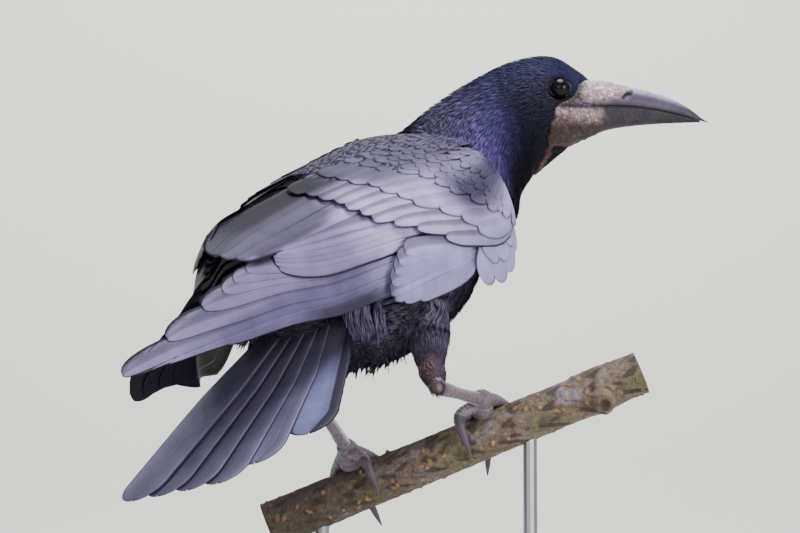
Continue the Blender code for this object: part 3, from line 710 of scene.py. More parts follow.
BODY_FEATHER = feather_material("body_plumage", 0.55, 0.05, (60.0, 14.0), 0.06, 0.25)
WING_FEATHER = feather_material("wing_plumage", 0.48, 0.03, (330.0, 34.0), 0.16, 0.94, 0.05, 0.11)
COVERT_FEATHER = feather_material("covert_plumage", 0.52, 0.04, (120.0, 20.0), 0.12, 0.30, 0.04,
                                  0.05)
TAIL_FEATHER = feather_material("tail_plumage", 0.48, 0.03, (420.0, 34.0), 0.35, 0.75, 0.035, 0.04)
SKIN = skin_material()
HORN = horn_material("bill_horn", (0.060, 0.046, 0.070), (0.40, 0.36, 0.46), 0.34)
CLAW = horn_material("claw_horn", (0.030, 0.024, 0.028), (0.30, 0.26, 0.28), 0.30)
EYE = eye_material()
LEG = leg_material()
BARK = bark_material()
CUT_WOOD = cut_wood_material()
STAND_WOOD = stand_wood_material()
STAND_STEEL = stand_steel_material()


# ---------------------------------------------------------------- skin
BODY_PATCH = (0.02, 0.02, 0.60, 0.96)           # on the unwrap: corner, width and height
THIGH_PATCH = {"right": (0.68, 0.02, 0.28, 0.44), "left": (0.68, 0.52, 0.28, 0.44)}


def unwrapped(area, t, a):
    """The unwrap of a body or thigh surface, cut open along one line."""
    x, y, wide, high = area
    around = np.mod(np.asarray(a) / (2 * math.pi), 1.0)
    return np.stack([x + wide * around, y + high * np.clip(t, 0, 1)], axis=-1)


EYE_AT = (1.4, 1.7, 12.3)
EYE_RADIUS = 5.6
EYE_OVAL = 0.92                                 # the opening's height by its length


def coat_depth(t):
    """How far the skin lies inside the plumage's outline."""
    return line(((0.0, 3.0), (0.1, 5.0), (0.45, 5.5), (0.6, 4.2), (0.72, 2.6), (0.80, 1.6),
                 (0.9, 1.3), (1.0, 1.0)), t)


def dressed_skin(t, a):
    """The skin: inside the coat, up to the outline on the bare face, with folds and sockets."""
    outer = body_surface(t, a)
    bare = bareness(outer)
    grow = -coat_depth(t) * (1 - bare) + 0.15 * bare
    along, up, side = in_head(outer)
    from_eye = np.hypot(along - EYE_AT[0], (up - EYE_AT[1]) / EYE_OVAL)
    beside = np.abs(side) > 6.0
    # creases run down and forward over the cheek, and fan back from the gape
    wave = rough(along * 0.55, up * 0.55, side * 0.3, seed=1.0)
    folds = 0.20 * np.sin(1.9 * up + 1.1 * along + 3.0 * wave)
    folds += 0.16 * rough(along * 1.5, up * 1.7, side * 0.6, seed=2.0)
    folds += 0.12 * rough(along * 3.1, up * 3.0, side * 1.2, seed=4.0)
    gape = -np.exp(-((up + 7.0 - 0.08 * (along - 12)) / 0.55) ** 2) * step(5.0, 8.0, along)
    lips = 0.55 * np.exp(-((up + 5.2) / 1.0) ** 2) * step(5.0, 9.0, along)
    lips += 0.75 * np.exp(-((up + 10.8) / 2.4) ** 2) * step(2.0, 8.0, along)
    crease = -0.7 * np.exp(-((up + 15.6) / 0.7) ** 2) * step(8.0, 14.0, along)
    grow = grow + bare * (folds + np.where(beside, gape + lips + crease, 0.0))
    ring = 0.6 * np.exp(-((from_eye - 8.1) / 0.9) ** 2) * step(2.0, -2.0, up)
    socket = -4.2 * (1 - step(5.0, 6.4, from_eye))
    grow = grow + np.where(beside & (t > 0.7), ring + socket, 0.0)
    return body_surface(t, a, grow), bare


BILL_START = 18.2
BILL_LONG = 59.0
UPPER_TOP = (6.3, 5.0, 3.1, 0.9, -2.4, -7.6, -14.6)
GAPE = (-6.6, -6.4, -6.7, -7.9, -9.7, -12.2, -15.0)
UPPER_WIDE = (8.6, 7.8, 6.7, 5.6, 4.3, 2.9, 0.5)
LOWER_LONG = 55.0
LOWER_LINE = (-21.3, -18.7, -17.2, -16.3, -15.7, -15.3, -15.0)
LOWER_WIDE = (8.2, 7.2, 6.0, 4.9, 3.7, 2.3, 0.6)
NOSTRIL_AT = (35.8, -1.1)


def bill_lines(along):
    """The closed bill's top, gape and underside at places along it."""
    t, low_t = (along - BILL_START) / BILL_LONG, (along - BILL_START) / LOWER_LONG
    return smooth(UPPER_TOP, t), smooth(GAPE, t), smooth(LOWER_LINE, low_t)


def half_bill(along, up):
    """How wide half the closed bill is at places along it and up."""
    top, gape, low = bill_lines(along)
    above = up >= gape
    wide = np.where(above, smooth(UPPER_WIDE, (along - BILL_START) / BILL_LONG),
                    smooth(LOWER_WIDE, (along - BILL_START) / LOWER_LONG))
    share = np.where(above, (up - gape) / (top - gape), (gape - up) / (gape - low))
    return wide * np.sqrt(np.clip(1 - np.clip(share, 0, 1) ** 2.5, 0.0, 1.0))


def skin_over_bill(ring):
    """Rings carrying the face's skin out over the root of the bill, sinking into it."""
    along, up, side = in_head(ring)
    # each point of the face's last ring as a share of the bill's height there
    top, _, low = bill_lines(along)
    share = np.clip((up - low) / (top - low), 0.0, 1.0)
    turn = (share - 0.5) * 2
    reach = line(SKIN_REACH, up) + 0.9 * rough(up * 1.3, side * 0.2, seed=6.0)
    rings = []
    for q in np.linspace(0.0, 1.0, 34)[1:]:
        far = along + (reach - along) * q
        top, gape, low = bill_lines(far)
        height = low + (top - low) * share
        thick = 0.55 * (1 - q ** 5) + 0.22 * rough(far * 1.6, height * 1.7, side * 0.6, seed=2.0)
        thick = thick - 0.9 * step(0.86, 1.0, q) - 0.9 * np.exp(-((height - gape) / 0.5) ** 2)
        ease = min(q * 5.0, 1.0)
        to_up = height + thick * np.sign(turn) * np.abs(turn) ** 3
        to_side = np.sign(side) * (half_bill(far, height)
                                   + thick * np.sqrt(np.clip(1 - turn ** 6, 0, 1)))
        to_side = np.where(np.abs(side) < 0.05, 0.0, to_side)
        rings.append(head(far, up + (to_up - up) * ease, side + (to_side - side) * ease))
    core = head(along.mean(), up.mean(), 0.0)
    return np.array([*rings, rings[-1] + (core - rings[-1]) * 0.45])


def make_skin():
    """One skin over trunk, neck, head and thighs."""
    ts = np.concatenate([np.linspace(0.0, 0.70, 90, endpoint=False),
                         np.linspace(0.70, 1.0, 96)])
    grid_t, grid_a = round_grid(ts, 220)
    rings, bare = dressed_skin(grid_t, grid_a)
    sheet = skin_over_bill(rings[-1])
    rings = np.concatenate([rings, sheet])
    bare = np.concatenate([bare, np.ones(sheet.shape[:2])])
    all_t, all_a = (np.concatenate([grid, np.repeat(grid[-1:], len(sheet), 0)])
                    for grid in (grid_t, grid_a))
    tint = towards(plumage_shade(all_t, all_a) * 0.35, face_shade(rings), bare)
    skin = ring_solid("skin", rings, SKIN, tint, {"OFBake": unwrapped(BODY_PATCH, all_t, all_a)})
    for side in ("right", "left"):
        tt, aa = round_grid(np.linspace(0.0, 1.0, 40), 32)
        shank = thigh_surface(side)(tt, aa, -1.2 - (1 - tt))
        thigh = ring_solid("thigh_skin", shank, SKIN, np.tile(shade(60, 48, 54), (tt.size, 1)),
                           {"OFBake": unwrapped(THIGH_PATCH[side], tt, aa)})
        union = skin.modifiers.new("thigh", "BOOLEAN")
        union.operation = "UNION"
        union.object = thigh
        grown = bpy.data.meshes.new_from_object(
            skin.evaluated_get(bpy.context.evaluated_depsgraph_get()))
        skin.modifiers.clear()
        skin.data = grown
        bpy.data.objects.remove(thigh, do_unlink=True)
    skin.data.name = "skin"
    skin.data.shade_smooth()
    fitted(skin, "body_plumage", "trunk", "neck", "head", "thigh_right", "thigh_left")


# ---------------------------------------------------------------- body feathers
VANE_THICK = 0.10


def rounded(v):
    """Width along a rounded feather."""
    end = ((v - 0.62) / 0.40).clip(0)
    return (0.35 + 0.65 * np.minimum(v * 3.2, 1.0)) * np.sqrt(np.clip(1 - end ** 2, 0.01, 1))


def pointed(v):
    """Width along a narrow pointed feather."""
    end = np.clip((v - 0.35) / 0.65, 0, 1)
    return (0.35 + 0.65 * np.minimum(v * 3.0, 1.0)) * (1 - 0.93 * end ** 1.6)


def coat(surface, t, a, long, half, rise, blade, shape, drift, flow=-1.0, camber=0.25):
    """Places of vanes rooted at (t, a) on a surface and lying along it."""
    e = 1e-3
    per_t = np.linalg.norm(surface(t + e, a) - surface(t - e, a), axis=-1) / (2 * e) / MM
    per_a = np.linalg.norm(surface(t, a + e) - surface(t, a - e), axis=-1) / (2 * e) / MM
    u, v = blade.u[None], blade.v[None]
    across = half[:, None] * shape(v) * u
    along = long[:, None] * v * (1 - 0.10 * u * u * v)
    turn = drift[:, None]
    down = along * np.cos(turn) - across * np.sin(turn)
    over = along * np.sin(turn) + across * np.cos(turn)
    tt = t[:, None] + flow * down / per_t[:, None]
    aa = a[:, None] + over / per_a[:, None]
    low, high = rise
    height = low[:, None] + (high - low)[:, None] * v ** 1.3
    height = (height + camber * half[:, None] * (1 - u * u) * 0.5
              + blade.face[None] * VANE_THICK / 2)
    return surface(tt, aa, height).reshape(-1, 3)


def scatter(surface, t_range, spacing, keep=None):
    """Even staggered roots over part of a surface: t and a of each."""
    found_t, found_a = [], []
    t, row = t_range[0], 0
    probe = np.arange(24) * 2 * math.pi / 24
    while t < t_range[1]:
        gap = spacing(t)
        ring = surface(np.full(24, t), probe)
        around = np.linalg.norm(ring - np.roll(ring, 1, axis=0), axis=-1).sum() / MM
        count = max(int(around / gap), 5)
        a = (np.arange(count) + 0.5 * (row % 2)) * 2 * math.pi / count
        a = a + random.normal(0, 0.16, count) * 2 * math.pi / count
        ahead = surface(np.full(24, t + 1e-3), probe)
        per_t = np.median(np.linalg.norm(ahead - ring, axis=-1)) / 1e-3 / MM
        found_t.append(t + random.normal(0, 0.18, count) * gap / per_t)
        found_a.append(a)
        t += 0.86 * gap / per_t
        row += 1
    t, a = np.concatenate(found_t), np.concatenate(found_a)
    if keep is not None:
        stay = keep(t, a)
        t, a = t[stay], a[stay]
    return t, a


def speckle(count, amount):
    """A light or dark turn for each feather."""
    return np.clip(random.normal(1.0, amount, count), 0.5, 1.6)[:, None]


def coat_piece(name, places, blade, bake_at, tint):
    """Vanes as one mesh, with their maps, riding on the body."""
    count = len(bake_at)
    piece = add_mesh(name, places, blade.faces(count), BODY_FEATHER,
                     vane_maps(blade, count, bake_at), np.repeat(tint, len(blade.u), axis=0))
    faces_out(piece)
    fitted(piece, "body_plumage")


def near_eye(points):
    along, up, _ = in_head(points)
    return np.hypot(along - EYE_AT[0], up - EYE_AT[1])


def make_body_coat():
    """The plumage of trunk, neck and head."""
    def cover(name, t, a, long, half, rise, drift, blade, shape, amount, camber=0.25):
        places = coat(body_surface, t, a, long, half, rise, blade, shape,
                      random.normal(0, drift, len(t)), camber=camber)
        coat_piece(name, places, blade, unwrapped(BODY_PATCH, t, a),
                   plumage_shade(t, a) * speckle(len(t), amount))

    def showing(t, a):
        under_wing = (np.sin(a) < 0.55) & (np.sin(a) > -0.30) & (t > 0.06) & (t < 0.46)
        return ~under_wing | (random.random(len(t)) < 0.3)
    fine = Blade(3, 2)
    # back, under the mantle and wings
    t, a = scatter(body_surface, (0.0, 0.56),
                   lambda t: line(((0.0, 3.0), (0.15, 3.6), (0.4, 3.6), (0.54, 3.0)), t),
                   lambda t, a: showing(t, a) & (np.sin(a) > -0.2))
    n = len(t)
    long = line(((0.0, 14.0), (0.2, 20.0), (0.45, 17.0), (0.55, 13.0)), t)
    long = long * random.uniform(0.85, 1.15, n)
    cover("coat_back", t, a, long, long * 0.26, (-coat_depth(t) * 0.8,
          random.normal(-0.2, 0.3, n)), 0.10, Blade(4, 2), rounded, 0.14, 0.20)
    # belly, flanks and breast: loose and fine, raggedest at the vent
    t, a = scatter(body_surface, (0.0, 0.56),
                   lambda t: line(((0.0, 1.9), (0.15, 2.1), (0.4, 2.1), (0.54, 2.0)), t),
                   lambda t, a: showing(t, a) & (np.sin(a) < -0.12))
    n = len(t)
    long = line(((0.0, 15.0), (0.2, 20.0), (0.45, 17.0), (0.55, 14.0)), t)
    long = long * random.uniform(0.8, 1.2, n)
    half = line(((0.0, 0.9), (0.3, 1.25), (0.55, 1.5)), t)
    ragged = step(0.24, 0.08, t) * step(-0.3, -0.7, np.sin(a))
    end = random.normal(-0.2, 0.10, n) + ragged * np.abs(random.normal(0, 0.8, n))
    cover("coat_belly", t, a, long, half, (-coat_depth(t) * 0.6, end), 0.09, fine, pointed, 0.13)
    # neck: silky
    t, a = scatter(body_surface, (0.50, 0.73),
                   lambda t: line(((0.50, 1.9), (0.58, 1.6), (0.70, 1.25)), t))
    n = len(t)
    long = line(((0.50, 14.0), (0.60, 12.0), (0.72, 7.5)), t) * random.uniform(0.85, 1.15, n)
    half = line(((0.50, 1.3), (0.60, 0.95), (0.72, 0.7)), t)
    cover("coat_neck", t, a, long, half, (-coat_depth(t) * 0.55, random.normal(-0.1, 0.16, n)),
          0.09, fine, pointed, 0.13)

    # head: shortest at the face and round the eye
    def feathered(t, a):
        points = body_surface(t, a)
        return (bareness(points) < 0.55) & (near_eye(points) > 5.9)
    t, a = scatter(body_surface, (0.71, 1.0),
                   lambda t: line(((0.71, 1.2), (0.80, 0.98), (1.0, 0.80)), t), feathered)
    n = len(t)
    points = body_surface(t, a)
    long = line(((0.70, 7.0), (0.80, 5.0), (0.92, 3.4), (1.0, 2.4)), t)
    long = long * random.uniform(0.8, 1.15, n) * (1 - 0.4 * bareness(points))
    eye_near = step(10.0, 6.0, near_eye(points))
    long = long * (1 - 0.5 * eye_near)
    half = line(((0.70, 0.62), (0.80, 0.48), (1.0, 0.36)), t) * (1 - 0.3 * eye_near)
    end = random.normal(0.0, 0.09, n) - 0.3 * eye_near
    cover("coat_head", t, a, long, half, (-coat_depth(t) * 0.6, end), 0.14, fine, pointed, 0.16)


def make_chin():
    """The ragged tuft under the chin, and bristles where the forehead meets the bill."""
    blade = Blade(3, 2)
    n = 420
    along = random.uniform(-6.0, 6.0, n)
    side = random.normal(0, 2.6, n)
    root = head(along, line(((-4, -24.5), (5.5, -21.0)), along) + 0.10 * side ** 2, side)
    way = unit(head(-6.0 + random.normal(0, 1.0, n), -5.5 + random.normal(0, 0.8, n),
                    np.sign(side) * 0.5) - head(0.0, 0.0, 0.0))
    chin = loose_vanes(root, way, random.uniform(5.0, 9.5, n), random.uniform(0.3, 0.5, n),
                       blade)
    tint = np.where((random.random(n) < 0.3)[:, None], shade(92, 62, 52), shade(20, 17, 18))
    points = np.stack([np.clip((along + 20) / 60, 0, 1), np.clip(side / 20 + 0.5, 0, 1)], -1)
    coat_piece("coat_chin", chin, blade, points * 0.2 + 0.02, tint)


def loose_vanes(root, way, long, half, blade, sag=0.12, face=None):
    """Single vanes set at places, each running its own way and curling down a little."""
    n = len(root)
    face = np.tile(HEAD_SIDE, (n, 1)) if face is None else face
    across = unit(np.cross(way, unit(face + random.normal(0, 0.25, (n, 3)))))
    lift = np.cross(across, way)
    u, v = blade.u[None, :, None], blade.v[None, :, None]
    out = long[:, None, None] * v
    wide = half[:, None, None] * pointed(v) * u
    bend = random.normal(sag, 0.10, n)[:, None, None] * out * v
    thick = 0.05 * blade.face[None, :, None] + 0.15 * half[:, None, None] * (1 - u * u)
    places = (root[:, None] + (way[:, None] * out + across[:, None] * wide
                               + lift[:, None] * (bend + thick)) * MM)
    return places.reshape(-1, 3)


def make_thigh_coat():
    """Feathers down each thigh: the belly's above, then short brown ones down the shank."""
    for side in ("right", "left"):
        surface = thigh_surface(side)
        t, a = scatter(surface, (0.02, 1.0),
                       lambda t: line(((0.0, 1.9), (0.5, 1.2), (1.0, 0.70)), t))
        n = len(t)
        points = surface(t, a) / MM
        down = step(0.34, 0.50, t + 0.03 * random.normal(0, 1, n))
        long = line(((0.0, 18.0), (0.3, 13.0), (0.5, 7.0), (1.0, 3.6)), t)
        long = long * random.uniform(0.8, 1.2, n)
        half = line(((0.0, 1.3), (0.4, 0.9), (1.0, 0.45)), t)
        blade = Blade(3, 2)
        rear = step(0.2, 1.0, (points[:, 1] - surface(t, 0.0)[:, 1] / MM * 0.5
                               - surface(t, math.pi)[:, 1] / MM * 0.5) / 5.0)
        bulge = 1.8 * rear * np.exp(-((t - 0.72) / 0.16) ** 2)
        end = random.normal(0.1, 0.15, n) + 0.5 * (1 - down) + bulge
        places = coat(surface, t, a, long, half, (-0.7 + bulge, end), blade, pointed,
                      random.normal(0, 0.10, n), flow=1.0)
        tint = towards(np.tile(shade(100, 94, 114), (n, 1)), shade(112, 94, 108), down)
        rust = rear * down * step(0.45, 0.65, t) * 0.75
        tint = towards(tint, shade(108, 82, 74), rust) * speckle(n, 0.16)
        coat_piece(f"coat_thigh_{side}", places, blade, unwrapped(THIGH_PATCH[side], t, a), tint)


def make_flank_tufts():
    """Fluffy tufts where the flank meets the tail, and wisps under the vent."""
    thin = Blade(3, 2)
    tufts = (((-60, 30, -2), (-75, 33, -18), 5.5, 240), ((-52, 31, -5), (-66, 34, -22), 5.0, 240),
             ((-44, 33, -9), (-57, 36, -24), 4.4, 180))
    n = sum(tuft[3] for tuft in tufts)
    root, way, long = np.zeros((n, 3)), np.zeros((n, 3)), np.zeros(n)
    at = 0
    for start, end, wide, count in tufts:
        off = random.normal(0, wide * 0.5, (count, 2))
        first = body(start[0] + off[:, 0], start[1] + 0.6 - np.abs(off[:, 0]) * 0.35,
                     start[2] + off[:, 1])
        last = body(end[0] + off[:, 0] * 0.7, np.full(count, float(end[1])),
                    end[2] + off[:, 1] * 0.7)
        own = slice(at, at + count)
        root[own], way[own] = first, unit(last - first)
        long[own] = np.linalg.norm(last - first, axis=-1) / MM * random.uniform(0.35, 0.85, count)
        at += count
    for label, mirror in (("right", 1.0), ("left", -1.0)):
        flip = np.array((mirror, 1.0, 1.0))
        middle = BODY_AT * MM * (1 - flip)
        vanes = loose_vanes(root * flip + middle, way * flip, long, random.uniform(0.5, 1.0, n),
                            thin, 0.06, np.tile(RIGHT * mirror, (n, 1)))
        bake = np.stack([random.uniform(0.1, 0.5, n), random.uniform(0.1, 0.5, n)], -1)
        tint = np.tile(shade(136, 129, 162), (n, 1)) * speckle(n, 0.14)
        coat_piece(f"flank_tufts_{label}", vanes, thin, bake, tint)
    # ragged wisps under the vent and along the flank's lower edge
    n = 900
    t, a = random.uniform(0.08, 0.30, n), random.uniform(1.12 * math.pi, 1.88 * math.pi, n)
    root = body_surface(t, a, -1.6)
    under = root - body_surface(t, a, -8.0)
    way = unit(unit(-FORWARD + 0.25 * random.normal(0, 1, (n, 3)))
               + unit(under) * random.uniform(0.05, 0.45, n)[:, None])
    vanes = loose_vanes(root, way, random.uniform(5.0, 9.5, n), random.uniform(0.4, 0.9, n),
                        thin, 0.05, unit(under))
    coat_piece("vent_wisps", vanes, thin, unwrapped(BODY_PATCH, t, a),
               plumage_shade(t, a) * 0.8 * speckle(n, 0.2))


# ---------------------------------------------------------------- folded wings
WING_FRONT = 75.0
WING_BACK = -222.0
WING_STATIONS = np.array((
    (26, 39.5, 54, 1, 12), (12, 47.5, 58.5, -24, 16.5), (8, 51, 57, -20, 18),
    (7, 53, 53.5, -8.5, 15), (7, 54, 50, -2.5, 12), (7, 54.5, 45, 2, 9.5),
    (8, 54.5, 39.5, 10.5, 6.5), (9, 48, 32.5, 15.5, 4), (8, 38, 22, 21.5, 2),
    (6, 30, 10, 24, 0.5),
))
LEFT_FORWARD = 6.0
LEFT_CROSSING = ((-222, 13), (-190, 21), (-152, 23), (-120, 8), (-60, 0))
LEFT_DROP = ((-222, 18), (-190, 18), (-152, 19), (-98, 12), (-64, 0))
COVERT_REAR = ((0.0, -58), (0.18, -57), (0.27, -50), (0.36, -50), (0.436, -47), (0.549, -42),
               (0.608, -35), (0.654, -28), (0.718, -18), (0.76, -11), (0.817, 0))


def closed_in(forward, right, back):
    """The wing's front end rounds in onto the breast."""
    ahead = np.clip((forward - 48.0) / 29.0, 0.0, 1.0)
    close = 1.0 - np.sqrt(1.0 - ahead ** 2)
    return right * (1 - 0.50 * close), back + (10.0 - back) * 0.30 * close


def wing_section(t, forward, s, lift):
    """Right and back on the folded wing's bulged sheet, s of the way across it."""
    in_r, in_b, low_r, low_b, bulge = np.moveaxis(smooth(WING_STATIONS, t), -1, 0)
    across, down = low_r - in_r, low_b - in_b
    span = np.hypot(across, down)
    push = 4 * bulge * s * (1 - s) + lift
    return closed_in(forward, in_r + across * s - down / span * push,
                     in_b + down * s + across / span * push)


def wing_share(forward):
    """How far down the folded wing a forward place is, from 0 at its front."""
    return (WING_FRONT - np.asarray(forward, float)) / (WING_FRONT - WING_BACK)


def wing_surface(side):
    """The folded wing as a function of forward place, share across and lift."""
    def surface(forward, s, lift=0.0):
        forward, s = np.broadcast_arrays(np.asarray(forward, float), np.asarray(s, float))
        right, back = wing_section(wing_share(forward), forward, s, lift)
        if side < 0:
            right = right - line(LEFT_CROSSING, forward)
            back = back - line(LEFT_DROP, forward) * s
            forward = forward + LEFT_FORWARD
        return body(forward, right * side, back)
    return surface


def wing_span(forward):
    """How far it is from the wing's inner edge to its lower edge, round the bulge."""
    values = smooth(WING_STATIONS, np.clip(wing_share(forward), 0, 1))
    chord = np.hypot(values[..., 2] - values[..., 0], values[..., 3] - values[..., 1])
    return chord * (1 + 2.667 * (values[..., 4] / chord) ** 2)


def flight_shape(v, tip, blunt):
    """Width along a flight feather: narrow at its root, rounded over its last tip share."""
    grown = 0.3 + 0.7 * np.minimum(v * 7.0, 1.0)
    end = np.clip((v - (1 - tip)) / tip, 0, 1)
    return grown * np.maximum(1 - end ** blunt, 0.0) ** 0.5 + 0.01


def wing_vane(surface, spine, widths, lifts, blade, tip=0.12, blunt=2.2, arch=0.5, droop=0.2,
              thick=0.16, seed=0.0):
    """One feather lying on the wing, from its spine and its inner and outer widths in mm:
    places, and where on the wing each is."""
    u, v = blade.u, blade.v
    spine = smooth(np.asarray(spine, float), np.linspace(0, 1, 80))
    steps = np.hypot(np.diff(spine[:, 0]), np.diff(spine[:, 1]) * wing_span(spine[1:, 0]))
    gone = np.concatenate([[0.0], np.cumsum(steps)]) / steps.sum()

    def at(share):
        inside = np.minimum(share, 1.0)
        return np.stack([np.interp(inside, gone, spine[:, k]) for k in range(2)], axis=-1)
    shaft, before, ahead = at(v), at(v * 0.98 - 0.01), at(v * 0.98 + 0.02)
    dx = ahead[:, 0] - before[:, 0]
    span = wing_span(shaft[:, 0])
    dy = (ahead[:, 1] - before[:, 1]) * span
    size = np.hypot(dx, dy)
    nx, ny = dy / size, -dx / size                       # across, towards the lower edge
    inner, outer = widths
    wide = np.where(u > 0, outer, inner)
    frayed = 1 + 0.012 * rough(v * 60.0, u * 3.0, seed=seed) * np.abs(u)
    x = u * wide * flight_shape(v, tip, blunt) * frayed
    forward = shaft[:, 0] + nx * x
    s = shaft[:, 1] + ny * x / span
    low, high = lifts
    lift = low + (high - low) * v + arch * (1 - u * u) - droop * np.where(u > 0, u ** 4, 0.0)
    lift = lift + blade.face * thick / 2
    return surface(forward, s, lift), forward, s


# The wing's tones: a colour, its share, and steps by forward place (0) and share across (1).
# The lavender grey under these rows is a painted sky reflection on black feathers.
WING_SHEEN_AND_SHADE = (
    ((70, 65, 85), 1, (0, -42, -62), (1, 0.36, 0.29)),
    ((58, 53, 70), 1, (0, -50, -75), (1, 0.24, 0.33), (1, 0.42, 0.36), (0, -128, -120)),
    ((118, 109, 144), 1, (0, -40, -75), (1, 0.34, 0.40)),
    ((96, 88, 122), 1, (0, -40, -75), (1, 0.66, 0.76)),
    ((136, 127, 164), 1, (0, -160, -200), (1, 0.3, 0.5)),
    ((150, 143, 192), 1, (1, 0.70, 0.88), (0, -70, -45)),
    ((62, 57, 77), 1, (1, 0.80, 0.55), (0, 0, 26), (1, 0.2, 0.5)),
    ((80, 75, 95), 1, (1, 0.46, 0.20), (0, -58, -12)),
    ((62, 57, 72), 1, (1, 0.22, 0.11), (0, -8, -36)),
    # painted shadow in the gaps between the outer primaries
    ((30, 27, 38), 0.8, (1, 0.86, 0.92), (0, -52, -62), (0, -124, -96)),
    # painted shadow, black: in the gap between the wings along the inner edge, and past the
    # primaries' inner webs where the far wing lies in shade
    ((6, 5, 7), 1, (1, 0.11, 0.08), (0, -30, -50)),
    ((6, 5, 7), 1, (1, 0.29, 0.25), (0, -139, -141)))


def wing_shade(forward, s):
    """The wing's colour: lavender grey as a painted sky reflection on black feathers, dusky on the
    shoulder, black along its inner edge as painted shadow.
    """
    sky_sheen = np.broadcast_to(shade(178, 167, 209), (*np.shape(s), 3))
    return painted(sky_sheen, WING_SHEEN_AND_SHADE, forward, s)


def left_shade(forward, s):
    """The left wing's flight feathers, painted black towards their points as the shade that the far
    wing lies in.
    """
    black = np.maximum(step(-90, -120, forward), step(0.60, 0.74, s) * step(-20, -60, forward))
    return towards(wing_shade(forward, s), shade(9, 8, 10), black)


# Shafts of the tertials, secondaries and primaries from the innermost out, each with its
# inner and outer widths.
TERTIALS = (
    (((-16, 0.07), (-70, 0.05), (-140, 0.02)), 8.0, 8.0),
    (((-16, 0.17), (-70, 0.15), (-137, 0.12)), 12.0, 8.5),
    (((-16, 0.32), (-60, 0.325), (-100, 0.285), (-132, 0.205)), 12.0, 8.0))
SECONDARIES = (
    (((-8, 0.56), (-40, 0.515), (-68, 0.445), (-94, 0.385), (-110, 0.35)), 8.0, 3.0),
    (((-8, 0.61), (-40, 0.565), (-68, 0.515), (-90, 0.445), (-112, 0.375)), 8.0, 3.2),
    (((-8, 0.65), (-40, 0.605), (-68, 0.565), (-90, 0.495), (-113, 0.40)), 8.0, 3.4),
    (((-6, 0.68), (-40, 0.640), (-68, 0.600), (-90, 0.535), (-114, 0.43)), 8.0, 3.6),
    (((-4, 0.69), (-40, 0.660), (-70, 0.625), (-95, 0.560), (-115, 0.46)), 8.0, 4.0),
    (((-2, 0.70), (-40, 0.690), (-70, 0.660), (-95, 0.610), (-115, 0.51)), 8.0, 5.4))
PRIMARIES = (
    (((0, 0.70), (-70, 0.610), (-105, 0.52), (-131, 0.375)), 8.0, 5.0),
    (((0, 0.71), (-75, 0.630), (-110, 0.54), (-141, 0.375)), 8.0, 5.0),
    (((0, 0.73), (-80, 0.650), (-115, 0.57), (-150, 0.385)), 8.0, 5.2),
    (((0, 0.75), (-60, 0.715), (-100, 0.665), (-135, 0.57), (-165, 0.395)), 9.0, 5.6),
    (((0, 0.80), (-70, 0.790), (-115, 0.745), (-151, 0.66), (-191, 0.44)), 9.0, 5.2),
    (((0, 0.84), (-70, 0.840), (-115, 0.835), (-150, 0.80), (-185, 0.755), (-221, 0.63)), 8.0, 3.4),
    (((0, 0.87), (-70, 0.875), (-115, 0.875), (-155, 0.86), (-217, 0.78)), 7.0, 2.6),
    (((0, 0.90), (-70, 0.905), (-120, 0.905), (-160, 0.89), (-203, 0.88)), 6.0, 2.2),
    (((0, 0.93), (-70, 0.935), (-120, 0.935), (-150, 0.92), (-174, 0.90)), 6.0, 2.0))
# The left wing's are spread wider.
LEFT_PRIMARIES = (
    (((0, 0.70), (-70, 0.60), (-110, 0.42), (-146, 0.14)), 8.0, 6.0),
    (((0, 0.71), (-75, 0.62), (-115, 0.45), (-163, 0.14)), 8.0, 6.0),
    (((0, 0.73), (-80, 0.64), (-120, 0.50), (-178, 0.18)), 8.0, 6.0),
    (((0, 0.75), (-60, 0.70), (-120, 0.57), (-192, 0.21)), 8.0, 6.0),
    (((0, 0.79), (-70, 0.76), (-130, 0.63), (-204, 0.25)), 8.0, 6.0),
    (((0, 0.84), (-70, 0.84), (-140, 0.73), (-214, 0.32)), 8.0, 5.0),
    (((0, 0.88), (-70, 0.90), (-150, 0.81), (-225, 0.53)), 8.0, 4.0),
    (((0, 0.91), (-70, 0.94), (-150, 0.89), (-214, 0.67)), 7.0, 3.0),
    (((0, 0.94), (-70, 0.99), (-120, 1.00), (-199, 0.78)), 8.0, 3.0),
    (((0, 0.95), (-58, 1.10), (-98, 1.09), (-150, 0.98), (-183, 0.87)), 10.0, 3.0))
# Shafts of the primary coverts and of the bastard wing below them.
PRIMARY_COVERTS = (
    ((16, 0.80), (-12, 0.800), (-39, 0.785)), ((16, 0.82), (-14, 0.830), (-46, 0.820)),
    ((16, 0.84), (-14, 0.860), (-51, 0.865)), ((14, 0.86), (-14, 0.893), (-56, 0.915)),
    ((12, 0.87), (-8, 0.910), (-32, 0.955), (-59, 0.975)),
    ((12, 0.88), (-6, 0.930), (-28, 0.985), (-57, 1.010)),
    ((12, 0.89), (-4, 0.945), (-24, 1.005), (-50, 1.035)),
    ((12, 0.90), (0, 0.955), (-18, 1.015), (-38, 1.045)))
# Where the median coverts end, by share across the wing.
MEDIAN_REAR = ((0.0, -12), (0.2, -6), (0.3, 2), (0.40, 9), (0.48, 12), (0.53, 17),
               (0.60, 26), (0.67, 33), (0.72, 38), (0.80, 48))
# Shafts of the coverts that droop over the bend, those beneath first.
BEND_COVERTS = (
    ((32, 0.76), (20, 0.90), (12, 1.01)), ((41, 0.77), (31, 0.90), (24, 1.015)),
    ((49, 0.79), (41, 0.90), (36, 1.00)), ((56, 0.80), (51, 0.88), (47, 0.965)),
    ((37, 0.72), (27, 0.83), (20, 0.91)), ((45, 0.74), (37, 0.84), (31, 0.93)),
    ((54, 0.76), (48, 0.84), (43, 0.91)))


